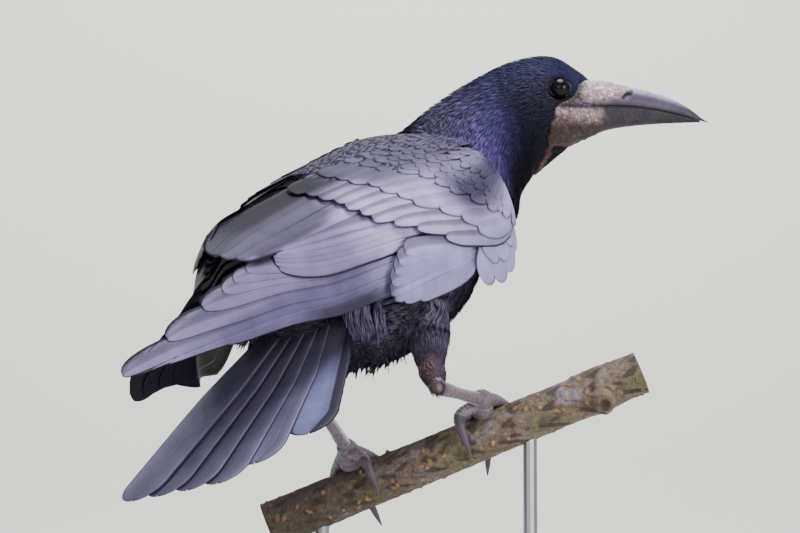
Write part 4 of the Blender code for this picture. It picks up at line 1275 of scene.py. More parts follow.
def feather_sheet(name, vanes, blade, material, slot, tone_of, amount, overlap_shadow=0.0,
                  replaced=()):
    """Wing feathers as one mesh, each with its own place on the baked map."""
    count = len(vanes)
    cell = 1.0 / math.ceil(math.sqrt(count))
    per = int(round(1 / cell))
    k = np.repeat(np.arange(count), len(blade.u))
    u, v = np.tile(blade.u, count), np.tile(blade.v, count)
    bake = np.stack([(k % per + 0.5 + u * 0.42) * cell, (k // per + 0.06 + v * 0.88) * cell], -1)
    places, forward, s = (np.concatenate([vane[n] for vane in vanes]) for n in range(3))
    tint = tone_of(forward, s) * np.repeat(speckle(count, amount), len(blade.u), axis=0)
    # painted shadow: each feather darker on its inner side, where the feather inward of it lies
    # over it
    tint = tint * (1 - overlap_shadow * step(0.1, -0.35, u))[:, None]
    piece = add_mesh(name, places, blade.faces(count), material,
                     {"Vane": np.tile(blade.own, (count, 1)), "OFBake": bake}, tint)
    faces_out(piece)
    fitted(piece, slot, *replaced)
    return piece


def make_wing(label, side):
    """Every feather of one folded wing, inner feathers lying over outer ones."""
    surface = wing_surface(side)
    long_blade, short_blade, small = Blade(26, 8), Blade(12, 8), Blade(7, 6)

    def sheet(name, vanes, blade, nodes_, amount=0.07, tone_of=wing_shade, overlap_shadow=0.62,
              material=WING_FEATHER):
        feather_sheet(f"{name}_{label}", vanes, blade, material, "wing_plumage", tone_of,
                      amount, overlap_shadow, [f"wing_{label}_{n}" for n in nodes_])

    def shafts(rows, top, drop, rise, **how):
        return [wing_vane(surface, row[0], row[1:], (top - drop * k - rise, top - drop * k),
                          long_blade, seed=k + top * 9, **how) for k, row in enumerate(rows)]
    flight = wing_shade if side > 0 else left_shade
    sheet("tertials", shafts(TERTIALS, 3.2, 0.45, 1.4, tip=0.15), long_blade, ["tertials"],
          overlap_shadow=0.2, tone_of=flight)
    sheet("secondaries", shafts(SECONDARIES, 1.9, 0.36, 1.0, tip=0.14, arch=0.35), long_blade,
          ["secondaries"], tone_of=flight)
    primaries = PRIMARIES if side > 0 else LEFT_PRIMARIES
    tip, blunt = (0.12, 2.2) if side > 0 else (0.20, 1.5)
    sheet("primaries", shafts(primaries, -0.3, 0.34, 0.6, tip=tip, blunt=blunt, arch=0.35),
          long_blade, ["primaries"], tone_of=flight)

    # greater coverts over the secondaries
    vanes, n = [], 10
    for k in range(n):
        s = 0.05 + 0.735 * k / (n - 1)
        rear = line(COVERT_REAR, s) - 3 + random.normal(0, 0.9)
        front = line(MEDIAN_REAR, s) + 16
        spine = ((front, s + 0.045), ((front + rear) / 2, s + 0.02), (rear, s - 0.025))
        vanes.append(wing_vane(surface, spine, (7.5, 4.6), (2.4, 4.4 - 0.16 * k), short_blade,
                               tip=0.22, arch=0.5, seed=k + 30))
    sheet("greater_coverts", vanes, short_blade, ["coverts"])

    # a second row over them, then rows of lesser coverts up to the shoulder
    vanes = []
    for k in range(10):
        s = 0.03 + 0.76 * (k + 0.3) / 9.6
        rear = (0.52 * line(COVERT_REAR, s) + 0.48 * line(MEDIAN_REAR, s)
                + random.normal(0, 1.2) + 4.0 * (s > 0.6))
        front = line(MEDIAN_REAR, s) + 18
        spine = ((front, s + 0.04), ((front + rear) / 2, s + 0.015), (rear, s - 0.015))
        vanes.append(wing_vane(surface, spine, (7.5, 5.4), (3.0, 4.7 - 0.08 * k), short_blade,
                               tip=0.34, arch=0.4, seed=k + 120))
    sheet("median_coverts", vanes, short_blade, [], overlap_shadow=0.25, material=COVERT_FEATHER)

    vanes = []
    for row in range(9):
        n = 11 if row == 0 else 13
        for k in range(n):
            s = 0.02 + (0.80 - 0.030 * row) * (k + 0.5 * (row % 2)) / (n - 1)
            rear = line(MEDIAN_REAR, s) + row * (7.0 - 1.5 * s) + random.normal(0, 1.2)
            if rear > 67:
                continue
            long = max(min(22.0 - 1.5 * row, 77.0 - rear), 8.0)
            half = 5.0 - 0.38 * row
            lean = random.normal(0, 0.010)
            spine = ((rear + long, s + 0.045 + lean), (rear + long / 2, s + 0.025 + lean),
                     (rear, s))
            lift = 4.4 - 1.8 * step(40, 66, rear) + random.normal(0, 0.12)
            vanes.append(wing_vane(surface, spine, (half, half * 0.85), (lift - 1.0, lift + 0.1),
                                   small, tip=0.5, arch=0.18, blunt=1.8, thick=0.08,
                                   seed=k + 50))
    sheet("lesser_coverts", vanes, small, [], amount=0.08, overlap_shadow=0.12,
          material=COVERT_FEATHER)

    vanes = [wing_vane(surface, spine, (7.5, 3.0 if k > 3 else 4.4), (0.6, 2.2 - 0.30 * k),
                       short_blade, tip=0.16, arch=0.4, seed=k + 70)
             for k, spine in enumerate(PRIMARY_COVERTS)]
    sheet("bend", vanes, short_blade, ["bend"])

    vanes = [wing_vane(surface, spine, (8.0, 8.0), (0.6, (2.4 if k < 4 else 3.4) - 0.2 * k),
                       short_blade, tip=0.3, blunt=2.6, arch=0.4, seed=k + 90)
             for k, spine in enumerate(BEND_COVERTS)]

    def pale(forward, s):
        return wing_shade(forward, s) * 0.35 + shade(158, 154, 190) * 0.65
    sheet("bend_coverts", vanes, short_blade, [], tone_of=pale, overlap_shadow=0.0,
          material=COVERT_FEATHER)


def mantle_surface(forward, x, lift=0.0):
    """Across the shoulders: x from -1 to 1 bridges the wings, and past that lies on them."""
    forward, x = np.broadcast_arrays(np.asarray(forward, float), np.asarray(x, float))
    s = np.maximum(np.abs(x) - 1.0, 0.0) * 0.3
    right, back = wing_section(np.clip(wing_share(forward), 0, 1), forward, s, lift + 3.2)
    inside = np.minimum(np.abs(x), 1.0)
    return body(forward, right * inside * np.sign(x), back + (1 - inside ** 2) * 1.6)


def make_mantle():
    """Feathers of the mantle and scapulars, bridging the two wings."""
    blade = Blade(4, 2)
    vanes = []
    count = 40
    u, v = blade.u, blade.v
    shape = 0.5 * rounded(v) + 0.5 * pointed(v)
    for number, rear in enumerate(np.arange(-50, 66, 2.7)):
        for k in range(count + number % 2):
            x = (k + 0.5 - 0.5 * (number % 2)) / count * 3.5 - 1.75 + random.normal(0, 0.04)
            if rear < -34 and abs(x) < 0.9:
                continue
            end = rear + random.normal(0, 1.6)
            if end > 66 - 6 * abs(x) or end < -44 + 16 * max(abs(x) - 1.0, 0.0):
                continue
            long = line(((-50, 24), (20, 20), (60, 15)), end) * random.uniform(0.85, 1.2)
            half = line(((-50, 2.8), (20, 2.2), (60, 1.6)), end)
            turn = random.normal(0, 0.05) - 0.05 * x
            wide = np.linalg.norm(mantle_surface(end, x + 0.1) - mantle_surface(end, x)) / MM
            across = half * shape * u
            forward = end + long * (1 - v)
            xx = x + (across + turn * long * v) / (wide * 10.0)
            height = (0.5 + 0.42 * v + 0.08 * (1 - u * u) + blade.face * VANE_THICK / 2
                      + random.normal(0, 0.03))
            vanes.append((mantle_surface(forward, xx, height), forward, np.abs(xx)))

    def tone(forward, x):
        tone = np.broadcast_to(shade(84, 79, 97), (len(x), 3))
        tone = towards(tone, shade(84, 76, 112), step(44, 62, forward))
        return towards(tone, shade(94, 89, 110), step(1.1, 1.75, x) * step(30, 5, forward))
    piece = feather_sheet("mantle", vanes, blade, BODY_FEATHER, "body_plumage", tone, 0.08)
    outward(piece)


def make_cape():
    """Neck feathers that lie out over the front ends of the folded wings."""
    blade = Blade(4, 3)
    t, a = np.meshgrid(np.linspace(0.42, 0.70, 57), np.linspace(-0.5, 1.5, 121) * math.pi,
                       indexing="ij")
    near = body_surface(t, a, -0.6).reshape(-1, 3)
    for label, side, reach, n in (("right", 1.0, 0.05, 420), ("left", -1.0, 0.66, 900)):
        forward = random.uniform(44, 81, n)
        s = random.uniform(-0.03, 1.0, n) * reach * step(36, 80, forward)
        tip = wing_surface(side)(forward - 6.0, s, 0.9)
        nearest = np.argmin(((tip[:, None] - near[None]) ** 2).sum(-1), axis=1)
        root = near[nearest] + FORWARD * 4.0 * MM
        way = tip - root
        long = np.linalg.norm(way, axis=-1) / MM
        out = unit(tip - body(forward - 5.0, 0.0, 0.0))
        vanes = loose_vanes(root, unit(way), long * random.uniform(0.9, 1.1, n),
                            random.uniform(1.6, 2.4, n), blade, 0.03, out)
        own_t, own_a = t.ravel()[nearest], a.ravel()[nearest]
        tint = towards(np.tile(shade(84, 78, 112), (n, 1)), shade(96, 90, 114),
                       step(70, 50, forward)) * speckle(n, 0.14)
        coat_piece(f"cape_{label}", vanes, blade, unwrapped(BODY_PATCH, own_t, own_a), tint)


# ---------------------------------------------------------------- tail
TAIL_PIVOT = (-10.0, 0.0)
TAIL_TOP = -1.0
TAIL_DROOP = 0.24
TAIL_TILT = 0.10
FEATHER_START = 50.0
LAYER = 0.92
TAIL_FEATHERS = {
    "right": ((-4.6, 0, 200, 12.5), (-1.0, 2, 196, 12.5), (3.1, 4, 192, 12.5),
              (7.3, 6, 188, 12.5), (12.0, 7, 176, 12.5), (20.0, 8, 160, 13.0)),
    "left": ((-5.0, 1, 197, 12.5), (-5.6, 3, 193, 12.5), (-6.2, 5, 188, 12.5),
             (-6.8, 7, 182, 12.5), (-7.4, 8, 174, 12.0), (-8.0, 9, 164, 11.5)),
}


def tail_surface(swing):
    """The fanned tail along one feather: reach from its pivot, across it and lift."""
    a = math.radians(swing)

    def surface(reach, across, lift):
        forward = TAIL_PIVOT[0] - reach * math.cos(a) + across * math.sin(a)
        right = TAIL_PIVOT[1] + reach * math.sin(a) + across * math.cos(a)
        back = TAIL_TOP - TAIL_DROOP * (reach - FEATHER_START) + TAIL_TILT * right + lift
        return body(forward, right, back)
    return surface


def make_tail():
    """Twelve tail feathers, wide towards the middle of the tail and narrow outside."""
    blade = Blade(30, 10)
    u, v = blade.u, blade.v
    bake = np.stack([0.5 + u * 0.16, 0.05 + v * 0.9], axis=-1)
    for label, feathers in TAIL_FEATHERS.items():
        out = 1.0 if label == "right" else -1.0
        for number, (swing, layer, long, half) in enumerate(feathers, 1):
            shaft = 0.0 if number == 1 else (0.12 + 0.07 * number) * half * out
            tip = half * 1.15
            reach = FEATHER_START + (long - FEATHER_START) * v
            end = np.clip((reach - (long - tip)) / tip, 0, 1)
            wide = half * (0.42 + 0.58 * np.minimum(v * 2.2, 1.0)) * np.sqrt(
                np.clip(1 - end ** 2.1, 0.0008, 1))
            wide = wide * (1 + 0.012 * rough(v * 90.0, u * 2.0, seed=number) * np.abs(u))
            across = wide * u + shaft * (1 - end) * (1 - np.abs(u))
            lift = -layer * LAYER - 0.15 + 0.25 * (1 - u * u) + blade.face * VANE_THICK
            lift = lift - 0.5 * step(0.5, 1.0, v) * np.abs(u) ** 3
            places = tail_surface(swing)(reach, across, lift)
            inner = step(0.05, -0.05, u * out)
            level = 0.70 + 0.55 * np.abs(u) ** 1.5 + 0.05 * (1 + np.cos(u * 2.0))
            # grey as a painted sky reflection on black feathers, lighter towards the root as
            # painted light where the wing's shadow falls
            tint = shade(99, 95, 118) * (level * (1.20 - 0.4 * v))[:, None]
            if number == 5:
                tint = towards(tint, shade(98, 96, 122), inner)
            # the sixth: its outer web darker, its inner web pale blue as a painted sky reflection
            if number == 6:
                tint = towards(towards(tint, shade(36, 34, 46), 1 - inner),
                               shade(108, 108, 148), inner * step(0.30, 0.60, v))
            piece = add_mesh(f"tail_vane_{label}_{number}", places, blade.faces(1), TAIL_FEATHER,
                             {"Vane": blade.own, "OFBake": bake}, tint)
            outward(piece)
            fitted(piece, "tail_plumage", f"tail_feather_{label}_{number}")


# ---------------------------------------------------------------- bill and eyes
# The horn's tones: a colour, its share, and steps by share of its height (0) and by place along it
# (1).
# upper half: paler over its top and near white along the ridge as painted highlight, a paler band
# above the gape, and a dark gape line as painted shade
UPPER_HORN_SHINE_AND_SHADE = (
    ((150, 141, 174), 1, (0, 0.55, 0.85)), ((224, 216, 238), 0.85, (0, 0.84, 1.0)),
    ((140, 134, 158), 1, (0, 0.26, 0.10), (1, 64, 50)), ((70, 58, 66), 1, (0, 0.05, 0.0)))
# lower half: lighter along its top, darkest beneath as painted shade under light from above
LOWER_HORN_LIGHT_AND_SHADE = (((62, 52, 62), 1, (0, 0.70, 0.92)), ((30, 21, 23), 1, (0, 0.42, 0.10)))
TIP_MARKINGS = (((28, 22, 32), 0.9, (1, 54.0, 72.0)),)


def make_bill():
    """Both halves of the bill, with nostrils, a soft ridge and a closed gape."""
    rows, half = 90, 20
    t = np.linspace(-0.03, 1.0, rows)
    a, b = np.linspace(0.0, math.pi, half + 1), np.linspace(math.pi, 2 * math.pi, half + 1)[1:-1]
    arch = np.sin(a) ** 0.80
    arch[0] = arch[-1] = 0.0
    for name, long, horn in (("upper", BILL_LONG, shade(80, 69, 90)),
                             ("lower", LOWER_LONG, shade(44, 35, 42))):
        ridge = name == "upper"
        if ridge:
            top, low, wide = smooth(UPPER_TOP, t), smooth(GAPE, t), smooth(UPPER_WIDE, t)
        else:
            top = smooth(GAPE, long * t / BILL_LONG) - 0.12
            low, wide = smooth(LOWER_LINE, t), smooth(LOWER_WIDE, t)
        low = np.minimum(low, top - 0.5)[:, None]
        top = top[:, None]
        level = top - low
        bowed, flat = (low + level * arch, low) if ridge else (top - level * arch, top)
        up = np.concatenate([bowed, np.repeat(flat, len(b), axis=1)], axis=1)
        side = wide[:, None] * np.cos(np.concatenate([a, b]))
        far = np.repeat((BILL_START + long * t)[:, None], up.shape[1], axis=1)
        if ridge:
            tilt = up - NOSTRIL_AT[1] - 0.35 * (far - NOSTRIL_AT[0])
            from_nostril = np.hypot((far - NOSTRIL_AT[0]) / 2.9, tilt / 1.8)
            pit = np.exp(-from_nostril ** 4)
            side = side - np.sign(side) * 2.4 * pit * (np.abs(side) > 1.5)
            ledge = np.exp(-((from_nostril - 1.35) / 0.35) ** 2) * (np.abs(side) > 1.5)
            side = side + np.sign(side) * 0.28 * ledge
            groove = np.exp(-((up - (low + level * 0.16)) / 0.5) ** 2)
            side = side - np.sign(side) * 0.22 * groove * (np.abs(side) > 0.8)
        wear = 0.10 * rough(far * 1.3, up * 1.6, side * 1.1, seed=3.0)
        side = side * (1 + 0.012 * rough(far * 0.8, up * 0.9)) + wear * 0.6
        rings = head(far, up + wear * 0.5, side)
        edge = line(SKIN_REACH, up) + 1.6 * rough(far * 0.8, up * 1.1, side * 0.7)
        scurf = step(4.5, -1.0, far - edge)
        share = (up - low) / np.maximum(level, 0.5)
        tint = painted(np.broadcast_to(horn, rings.shape),
                       (UPPER_HORN_SHINE_AND_SHADE if ridge else LOWER_HORN_LIGHT_AND_SHADE) + TIP_MARKINGS, share, far)
        tint = towards(tint, face_shade(rings), scurf)
        if ridge:
            # the nostril's pit darkened nearly black: painted shade in the opening
            tint = tint * (1 - 0.99 * pit * (np.abs(side) > 1.5))[..., None]
        bake = even_map(np.linspace(0.03, 0.97, rows), np.linspace(0.05, 0.95, up.shape[1]))
        piece = ring_solid(f"bill_{name}_horn", rings, HORN,
                           np.concatenate([tint, scurf[..., None]], axis=-1),
                           {"OFBake": bake[..., ::-1]})
        fitted(piece, "bill_horn", f"bill_{name}")


def make_eyes():
    """Wet dark eyeballs, each behind a thin wrinkled lid."""
    for label, out in (("right", 1.0), ("left", -1.0)):
        shape = bmesh.new()
        bmesh.ops.create_uvsphere(shape, u_segments=48, v_segments=32, radius=EYE_RADIUS * MM)
        bmesh.ops.translate(shape, verts=shape.verts,
                            vec=Vector(head(EYE_AT[0], EYE_AT[1], EYE_AT[2] * out)))
        mesh = bpy.data.meshes.new(f"eyeball_{label}")
        shape.to_mesh(mesh)
        shape.free()
        mesh.shade_smooth()
        mesh.materials.append(EYE)
        ball = bpy.data.objects.new(f"eyeball_{label}", mesh)
        bpy.context.collection.objects.link(ball)
        fitted(ball, "eye", f"eye_{label}")
        # the lid: a soft ring on the ball, fuller beneath
        turns, sides = 96, 14
        w, q = round_grid(np.arange(turns) * 2 * math.pi / turns, sides)
        below = np.sin(w)
        full = 0.42 + 0.16 * step(0.3, -0.9, below)
        crease = 0.05 * np.sin(w * 23.0 + 2.0 * np.sin(w * 3.0)) * step(0.2, -0.3, below)
        reach = 4.85 + 0.15 * np.cos(2 * w) + full * (1.0 - np.cos(q)) * 0.75 + crease
        on_ball = EYE_AT[2] + np.sqrt(np.maximum(EYE_RADIUS ** 2 - reach ** 2, 1.5))
        rings = head(EYE_AT[0] + reach * np.cos(w), EYE_AT[1] + reach * below * EYE_OVAL,
                     (on_ball + full * 0.55 * np.sin(q) + 0.25) * out)
        tint = (shade(96, 88, 96) * (1 - 0.6 * step(0.1, 0.9, below))[..., None]
                * (1 + 0.15 * np.sin(q)[..., None]))
        lid = add_mesh(f"eyelid_{label}", rings, ring_quads(turns + 1, sides) % w.size, SKIN,
                       {"OFBake": np.stack([w, q], -1) / 6.4}, tint)
        outward(lid)
        fitted(lid, "body_plumage")


# ---------------------------------------------------------------- legs
FOOT_AT = {"right": (43.0, 34.0, 20.0), "left": (-28.0, 24.0, 21.5)}
TOES = {
    "right": {
        "hallux": ((43.0, 34, 19.0), (36.5, 38, 18.6), (30.5, 46, 18.8), (28.6, 58, 17.4)),
        "inner": ((42.0, 30, 19.0), (38.5, 2, 15.8), (35.0, -40, 14.2), (33.0, -70, 14.0)),
        "middle": ((44.0, 30, 19.0), (46.5, 0, 16.0), (45.0, -42, 14.6), (41.0, -84, 14.6)),
        "outer": ((44.5, 32, 18.8), (48.5, 6, 15.4), (52.5, -38, 14.0), (54.5, -70, 13.8)),
    },
    "left": {
        "hallux": ((-28.0, 24, 20.0), (-25.6, 38, 19.4), (-23.0, 48, 18.8), (-21.8, 60, 17.4)),
        "inner": ((-27.0, 22, 19.8), (-22.5, 0, 15.8), (-18.0, -40, 14.2), (-16.5, -70, 14.0)),
        "middle": ((-28.5, 22, 19.8), (-28.0, 0, 16.0), (-28.5, -42, 14.6), (-29.0, -84, 14.6)),
        "outer": ((-29.0, 24, 19.8), (-34.0, 2, 15.6), (-39.0, -40, 14.2), (-41.0, -72, 14.0)),
    },
}
TOE_RADII = (3.9, 3.3, 3.1, 2.7)
CLAWS = {
    "right": {
        "hallux": ((29.6, 50, 18.6), (28.4, 66, 18.0), (28.0, 94, 16.2), (27.6, 126, 12.7)),
        "inner": ((32.8, -75, 14.5), (32.0, -98, 14.4), (32.0, -122, 12.7)),
        "middle": ((40.2, -84, 15.4), (36.5, -108, 18.2), (31.5, -131, 25.5)),
        "outer": ((54.7, -76, 14.0), (55.2, -98, 13.9), (55.0, -122, 12.2)),
    },
    "left": {
        "hallux": ((-22.6, 52, 18.4), (-21.6, 66, 17.8), (-21.4, 93, 16.0), (-21.9, 124, 12.8)),
        "inner": ((-16.4, -75, 14.5), (-16.0, -98, 14.4), (-16.4, -122, 12.7)),
        "middle": ((-29.0, -84, 15.4), (-28.4, -110, 19.5), (-27.4, -131, 29.5)),
        "outer": ((-41.2, -77, 14.5), (-41.8, -98, 14.4), (-41.6, -122, 12.7)),
    },
}
CLAW_RADII = (3.0, 2.7, 2.1, 1.3, 0.3)
TARSUS_RADII = (1.2, 3.5, 2.9, 3.5)


def scaly_tube(path, radii, scutes, front, rows, columns=22, deep=0.28, knuckles=(), tint=None):
    """A leg or toe: a tube with broad plates along its front side and pads behind."""
    tt, aa = round_grid(np.linspace(0.0, 1.0, rows), columns)
    along = unit(smooth(path, tt + 0.02) - smooth(path, tt - 0.02))
    face = unit(front - along * np.sum(along * front, axis=-1, keepdims=True))
    side = np.cross(along, face)
    ahead = np.cos(aa)
    saw = np.mod(tt * scutes, 1.0)
    plate = (saw ** 0.6 - 0.55) * step(-0.1, 0.35, ahead) * deep
    pads = 0.5 * deep * np.sin(tt * scutes * 4.1 + aa * 3.0) * step(-0.1, -0.6, ahead)
    swell = sum(0.45 * np.exp(-((tt - k) / 0.05) ** 2) * (1.0 - 1.6 * np.maximum(ahead, 0.0))
                for k in knuckles)
    ends = np.minimum(1.0, np.minimum(tt, 1 - tt) * 26.0 + 0.02) ** 0.5
    reach = (smooth(radii, tt) + plate + pads + swell) * MM * ends
    rings = (smooth(path, tt) + face * (reach * ahead)[..., None]
             + side * (reach * np.sin(aa))[..., None])
    # painted light: the front near white or its tint as a painted highlight, behind it darker as
    # painted shade, and the grooves between plates darkened as painted shade
    lit = step(-0.45, 0.45, ahead)[..., None]
    behind = shade(122, 108, 116)
    color = (shade(250, 244, 254) * lit + behind * (1 - lit) if tint is None
             else tint * lit + behind * 0.9 * (1 - lit))
    groove = step(0.0, 0.22, saw)[..., None] * 0.50 + 0.50
    return rings, color * np.where(lit > 0.5, groove, 1.0)


def leg_piece(name, parts, slot, material, replaced):
    """Rings of one or more tubes as one piece."""
    pieces = []
    for number, (rings, tint) in enumerate(parts):
        rows, columns = rings.shape[:2]
        bake = even_map(np.linspace(0.02, 0.98, rows),
                        (number + np.linspace(0.05, 0.95, columns)) / len(parts))
        pieces.append(ring_solid(f"{name}_{number}", rings, material, tint, {"OFBake": bake}))
    first = pieces[0]
    if len(pieces) > 1:
        bpy.ops.object.select_all(action="DESELECT")
        for piece in pieces:
            piece.select_set(True)
        bpy.context.view_layer.objects.active = first
        bpy.ops.object.join()
    first.name = first.data.name = name
    fitted(first, slot, replaced)


def make_legs():
    """Tarsi, feet and claws."""
    for side in ("right", "left"):
        ankle = ANKLES[side] * MM
        foot = wrapped(*FOOT_AT[side])
        lower = unit(foot - ankle)
        shin = [ankle - lower * 1.6 * MM, ankle + (foot - ankle) * 0.13,
                ankle + (foot - ankle) * 0.5, foot - lower * MM]
        front = unit(np.cross(np.cross(lower, -PERCH_OUT), lower)) if side == "right" else FORWARD
        shank, tint = scaly_tube(shin, TARSUS_RADII, 13, front, 110, 28)
        down = np.linspace(0.0, 1.0, 110)[:, None].repeat(28, 1)
        tint = towards(tint, shade(84, 70, 70), step(0.36, 0.22, down))
        thigh = thigh_surface(side)
        last = unit(thigh(0.99, 0.0) + thigh(0.99, math.pi)
                    - thigh(0.90, 0.0) - thigh(0.90, math.pi))
        knob = scaly_tube([ankle + last * reach * MM for reach in (-5.5, -3.4, -1.3, 0.6, 2.4)],
                          (2.0, 3.9, 4.1, 3.3, 0.5), 5, front, 44, 28, deep=0.0,
                          tint=shade(84, 64, 60))
        leg_piece(f"tarsus_scales_{side}", [(shank, tint), knob], "leg_scales", LEG,
                  f"tarsus_{side}")
        toes = []
        for path in TOES[side].values():
            places = [wrapped(*p) for p in path]
            out = unit(places[1] - perch(path[1][0], 0.0, 0.0))
            toes.append(scaly_tube(places, TOE_RADII, 11, out, 84, knuckles=(0.30, 0.62, 0.92),
                                   deep=0.50, tint=shade(136, 122, 130)))
        ball = [foot - lower * 4.2 * MM, foot, foot + lower * 3.6 * MM]
        toes.append(scaly_tube(ball, (4.0, 5.4, 5.2), 4, front, 40, tint=shade(140, 128, 138)))
        along, turn, _ = FOOT_AT[side]
        sole = [foot, wrapped(along - 1.0, turn - 4, 15.5), wrapped(along - 1.5, turn - 7, 11.0)]
        toes.append(scaly_tube(sole, (4.4, 5.6, 5.0), 5, front, 40, tint=shade(116, 102, 110)))
        leg_piece(f"foot_scales_{side}", toes, "leg_scales", LEG, f"foot_{side}")
        for toe, path in CLAWS[side].items():
            tt, aa = round_grid(np.linspace(0.0, 1.0, 40), 18)
            rings = tube_surface([wrapped(*p) for p in path], CLAW_RADII)(tt, aa)
            tint = np.tile((*shade(90, 76, 84), 0.0), (tt.size, 1))
            leg_piece(f"claw_horn_{side}_{toe}", [(rings, tint)], "claw_horn", CLAW,
                      f"claw_{side}_{toe}")


# ---------------------------------------------------------------- branch and stand
KNOT_AT = 98.0
KNOT_SIDE = 128.0
BARK_ROWS, BARK_COLUMNS = 420, 180


def turned_by(around, way):
    """How far round the branch, in millimetres, angles in degrees are from another."""
    return np.radians((around - way + 180.0) % 360.0 - 180.0) * 11.0


def bark_warts(far, around, reach, color):
    """Lenticels: corky warts across the branch, a dark slit down some, added in place."""
    for _ in range(120):
        at, way = random.uniform(*PERCH_ENDS), random.uniform(0, 360)
        wide, high = random.uniform(0.60, 1.15), random.uniform(0.4, 0.9)
        long = wide * random.uniform(0.9, 1.7)
        off = turned_by(around, way)
        lean = random.normal(0, 0.3)
        across = far - at + lean * off
        near = np.hypot(across / wide, off / long)
        bump = np.exp(-near ** 3)
        slit = np.exp(-(across / (0.28 * wide)) ** 2) * bump
        slit = slit * (random.random() < 0.55)
        reach += high * (bump - 0.9 * slit)
        cork = shade(196, 156, 112) * random.uniform(0.7, 1.15)
        halo = np.exp(-(near / 1.6) ** 4) * 0.7
        for tone, share in ((shade(58, 44, 34), halo), (cork, 0.9 * bump),
                            (shade(60, 38, 26), 0.8 * slit)):
            color += (tone - color) * share[..., None]


def make_perch():
    """The cut branch: bark with lenticels and cracks, and the stub of a side shoot."""
    rows, columns = BARK_ROWS, BARK_COLUMNS
    turn = np.arange(columns) * 360.0 / columns
    far, around = np.meshgrid(np.linspace(*PERCH_ENDS, rows), turn, indexing="ij")
    reach = np.linspace(*PERCH_RADIUS, rows)[:, None]
    rad = np.radians(around)
    x, y = reach * np.cos(rad), reach * np.sin(rad)
    reach = reach + 0.8 * np.exp(-((far - KNOT_AT) / 9.0) ** 2)
    reach = reach + 0.22 * rough(far * 0.09, x * 0.16, y * 0.16, seed=5)
    reach = reach + 0.10 * rough(far * 0.55, x * 0.6, y * 0.6, seed=8)
    # the stub and its collar
    from_knot = np.hypot(far - KNOT_AT - 0.8, turned_by(around, KNOT_SIDE))
    stub = 4.6 * step(6.6, 3.9, from_knot) + 1.1 * np.exp(-((from_knot - 7.0) / 2.2) ** 2)
    stub -= 1.1 * step(2.6, 0.8, from_knot)
    reach = reach + stub
    reach = reach + 0.20 * rough(far * 0.9, x * 0.8, y * 0.8, seed=9)
    # brown bark with green and purple-grey patches, darker at its cut lower end
    color = np.tile(shade(124, 108, 90), (rows, columns, 1))
    patch = (rough(far * 0.13, x * 0.16, y * 0.16, seed=11)
             + 0.4 * rough(far * 0.5, x * 0.6, y * 0.6, seed=12))
    color = towards(color, shade(110, 106, 68), step(0.15, 0.85, patch) * 0.6)
    color = towards(color, shade(150, 136, 142), step(-0.15, -0.85, patch) * 0.85)
    blot = rough(far * 0.30, x * 0.42, y * 0.42, seed=14)
    color = towards(color, shade(58, 46, 42), step(0.10, 0.60, blot) * 0.85)
    color = towards(color, shade(62, 51, 42), step(20.0, -60.0, far) * 0.7)
    bark_warts(far, around, reach, color)
    color = towards(color, shade(74, 54, 42), step(3.4, 1.8, from_knot))
    rings = wrapped(far, around, reach)
    bark = np.stack([far / 22.0, around / 360.0], -1)
    first, last = (wrapped(np.full(columns, end), turn, reach[row] * 0.86)[None]
                   for end, row in zip(PERCH_ENDS, (0, -1)))
    rings = np.concatenate([first, rings, last])
    color = np.concatenate([color[:1], color, color[-1:]])
    bark = np.concatenate([bark[:1], bark, bark[-1:]])
    bake = even_map(np.linspace(0.02, 0.98, rows + 2), np.linspace(0.02, 0.98, columns))
    piece = ring_solid("branch_bark", rings, BARK, color, {"Bark": bark, "OFBake": bake})
    fitted(piece, "bark", "perch")
    # the sawn ends, each a thin cap of rings
    radii = np.array((1.0, 0.9, 0.5, 0.12))
    there_and_back = np.concatenate([radii, radii[::-1]])
    rim = np.stack([np.cos(np.radians(turn)), np.sin(np.radians(turn))], -1)
    maps = 0.5 + 0.5 * there_and_back[:, None, None] * rim
    for number, (end, row, way) in enumerate(zip(PERCH_ENDS, (0, -1), (-1.0, 1.0)), 1):
        depths = np.repeat((0.12, -1.0), len(radii))
        discs = [wrapped(np.full(columns, end + way * deep), turn, reach[row] * 0.875 * share)
                 for deep, share in zip(depths, there_and_back)]
        face = ring_solid(f"branch_cut_{number}", np.array(discs), CUT_WOOD, None,
                          {"Bark": maps, "OFBake": maps * 0.9})
        fitted(face, "bark")


def dress_stand():
    for name, material in (("stand_base", STAND_WOOD), ("stand_rod_1", STAND_STEEL),
                           ("stand_rod_2", STAND_STEEL)):
        mesh = nodes[name].data
        mesh.materials.clear()
        mesh.materials.append(material)


# ---------------------------------------------------------------- stage, light and camera
CAMERA_AT = (-0.96705, 1.56176, 0.04712)
CAMERA_AIM = (-0.02248, 0.05013, 0.29763)
CAMERA_LENS = 166.05
TO_CAMERA = unit(np.array((-0.5247, 0.8398, 0.0)))
BIRD_AT = (0.0, 0.02, 0.30)
FLOOR = (9.0, -5.0)                             # towards the camera, and away from it
HALF_WIDE = 9.0
WALL_BEND, WALL_TOP = 0.7, 5.0
SKY = (0.86, 0.85, 1.0, 1.0), 0.46
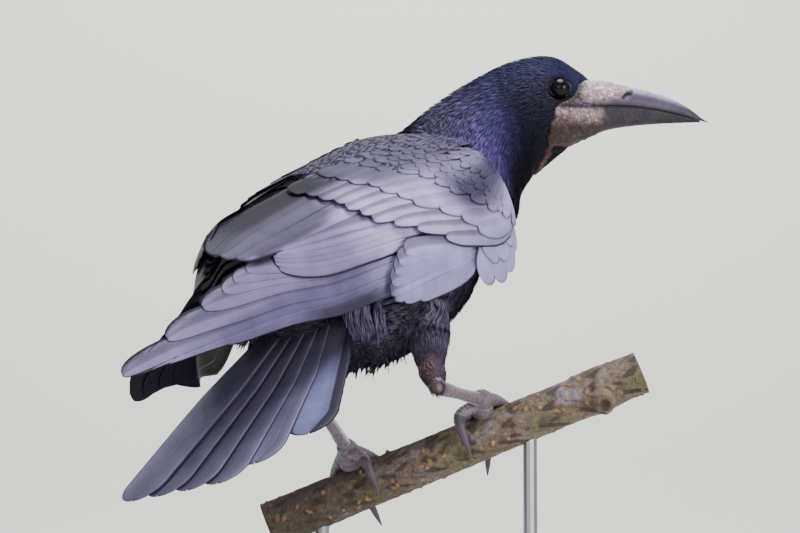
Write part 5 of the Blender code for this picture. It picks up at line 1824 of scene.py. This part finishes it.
# Each lamp's name, place, width, power and colour, and what it is turned to.
LAMPS = (
    ("sky_above", (-0.25, 0.20, 1.9), 1.2, 46.0, (0.92, 0.95, 1.0), BIRD_AT),
    ("key_side", (-1.5, 0.3, 0.55), 0.8, 13.0, (1.0, 0.97, 0.92), BIRD_AT),
    ("fill_front", (-0.6, 1.7, 0.6), 1.0, 6.0, (0.95, 0.97, 1.0), BIRD_AT),
    ("backdrop", tuple(TO_CAMERA * -3.4 + (0.0, 0.0, 3.4)), 2.5, 230.0, (1.0, 1.0, 0.94),
     tuple(TO_CAMERA * -5.6 + (0.0, 0.0, 0.9))))


def aimed(name, data, at, aim):
    """A lamp or camera at a place, turned to another."""
    thing = bpy.data.objects.new(name, data)
    thing.location = at
    thing.rotation_euler = (Vector(aim) - Vector(at)).to_track_quat("-Z", "Y").to_euler()
    bpy.context.collection.objects.link(thing)
    return thing


def make_stage():
    """A pale floor that turns up into a backdrop, soft light, and the camera."""
    across = np.array((-TO_CAMERA[1], TO_CAMERA[0], 0.0))
    bend = np.arange(1, 13) * math.pi / 24
    profile = [(FLOOR[0], 0.0), (1.0, 0.0), (FLOOR[1], 0.0),
               *zip(FLOOR[1] - WALL_BEND * np.sin(bend), WALL_BEND * (1 - np.cos(bend))),
               (FLOOR[1] - WALL_BEND, WALL_TOP)]
    verts = [TO_CAMERA * reach + across * side + (0.0, 0.0, up)
             for reach, up in profile for side in (-HALF_WIDE, HALF_WIDE)]
    quads = [(2 * k, 2 * k + 1, 2 * k + 3, 2 * k + 2) for k in range(len(profile) - 1)]
    add_mesh("stage_floor", verts, quads, paper_material())

    world = bpy.context.scene.world or bpy.data.worlds.new("studio")
    bpy.context.scene.world = world
    world.use_nodes = True
    sky = world.node_tree.nodes["Background"]
    sky.inputs["Color"].default_value, sky.inputs["Strength"].default_value = SKY
    for name, at, wide, power, color, aim in LAMPS:
        lamp = bpy.data.lights.new(name, "AREA")
        lamp.shape = "DISK"
        lamp.size, lamp.energy, lamp.color = wide, power, color
        aimed(name, lamp, at, aim)

    eye = bpy.data.cameras.new("camera")
    eye.sensor_width = 36.0
    eye.lens = CAMERA_LENS
    eye.clip_start = 0.05
    bpy.context.scene.camera = aimed("camera", eye, CAMERA_AT, CAMERA_AIM)


# ---------------------------------------------------------------- the whole bird
make_skin()
make_body_coat()
make_chin()
make_thigh_coat()
make_flank_tufts()
make_wing("right", 1.0)
make_wing("left", -1.0)
for make in (make_mantle, make_cape, make_tail, make_bill, make_eyes, make_legs, make_perch,
             dress_stand, make_stage):
    make()
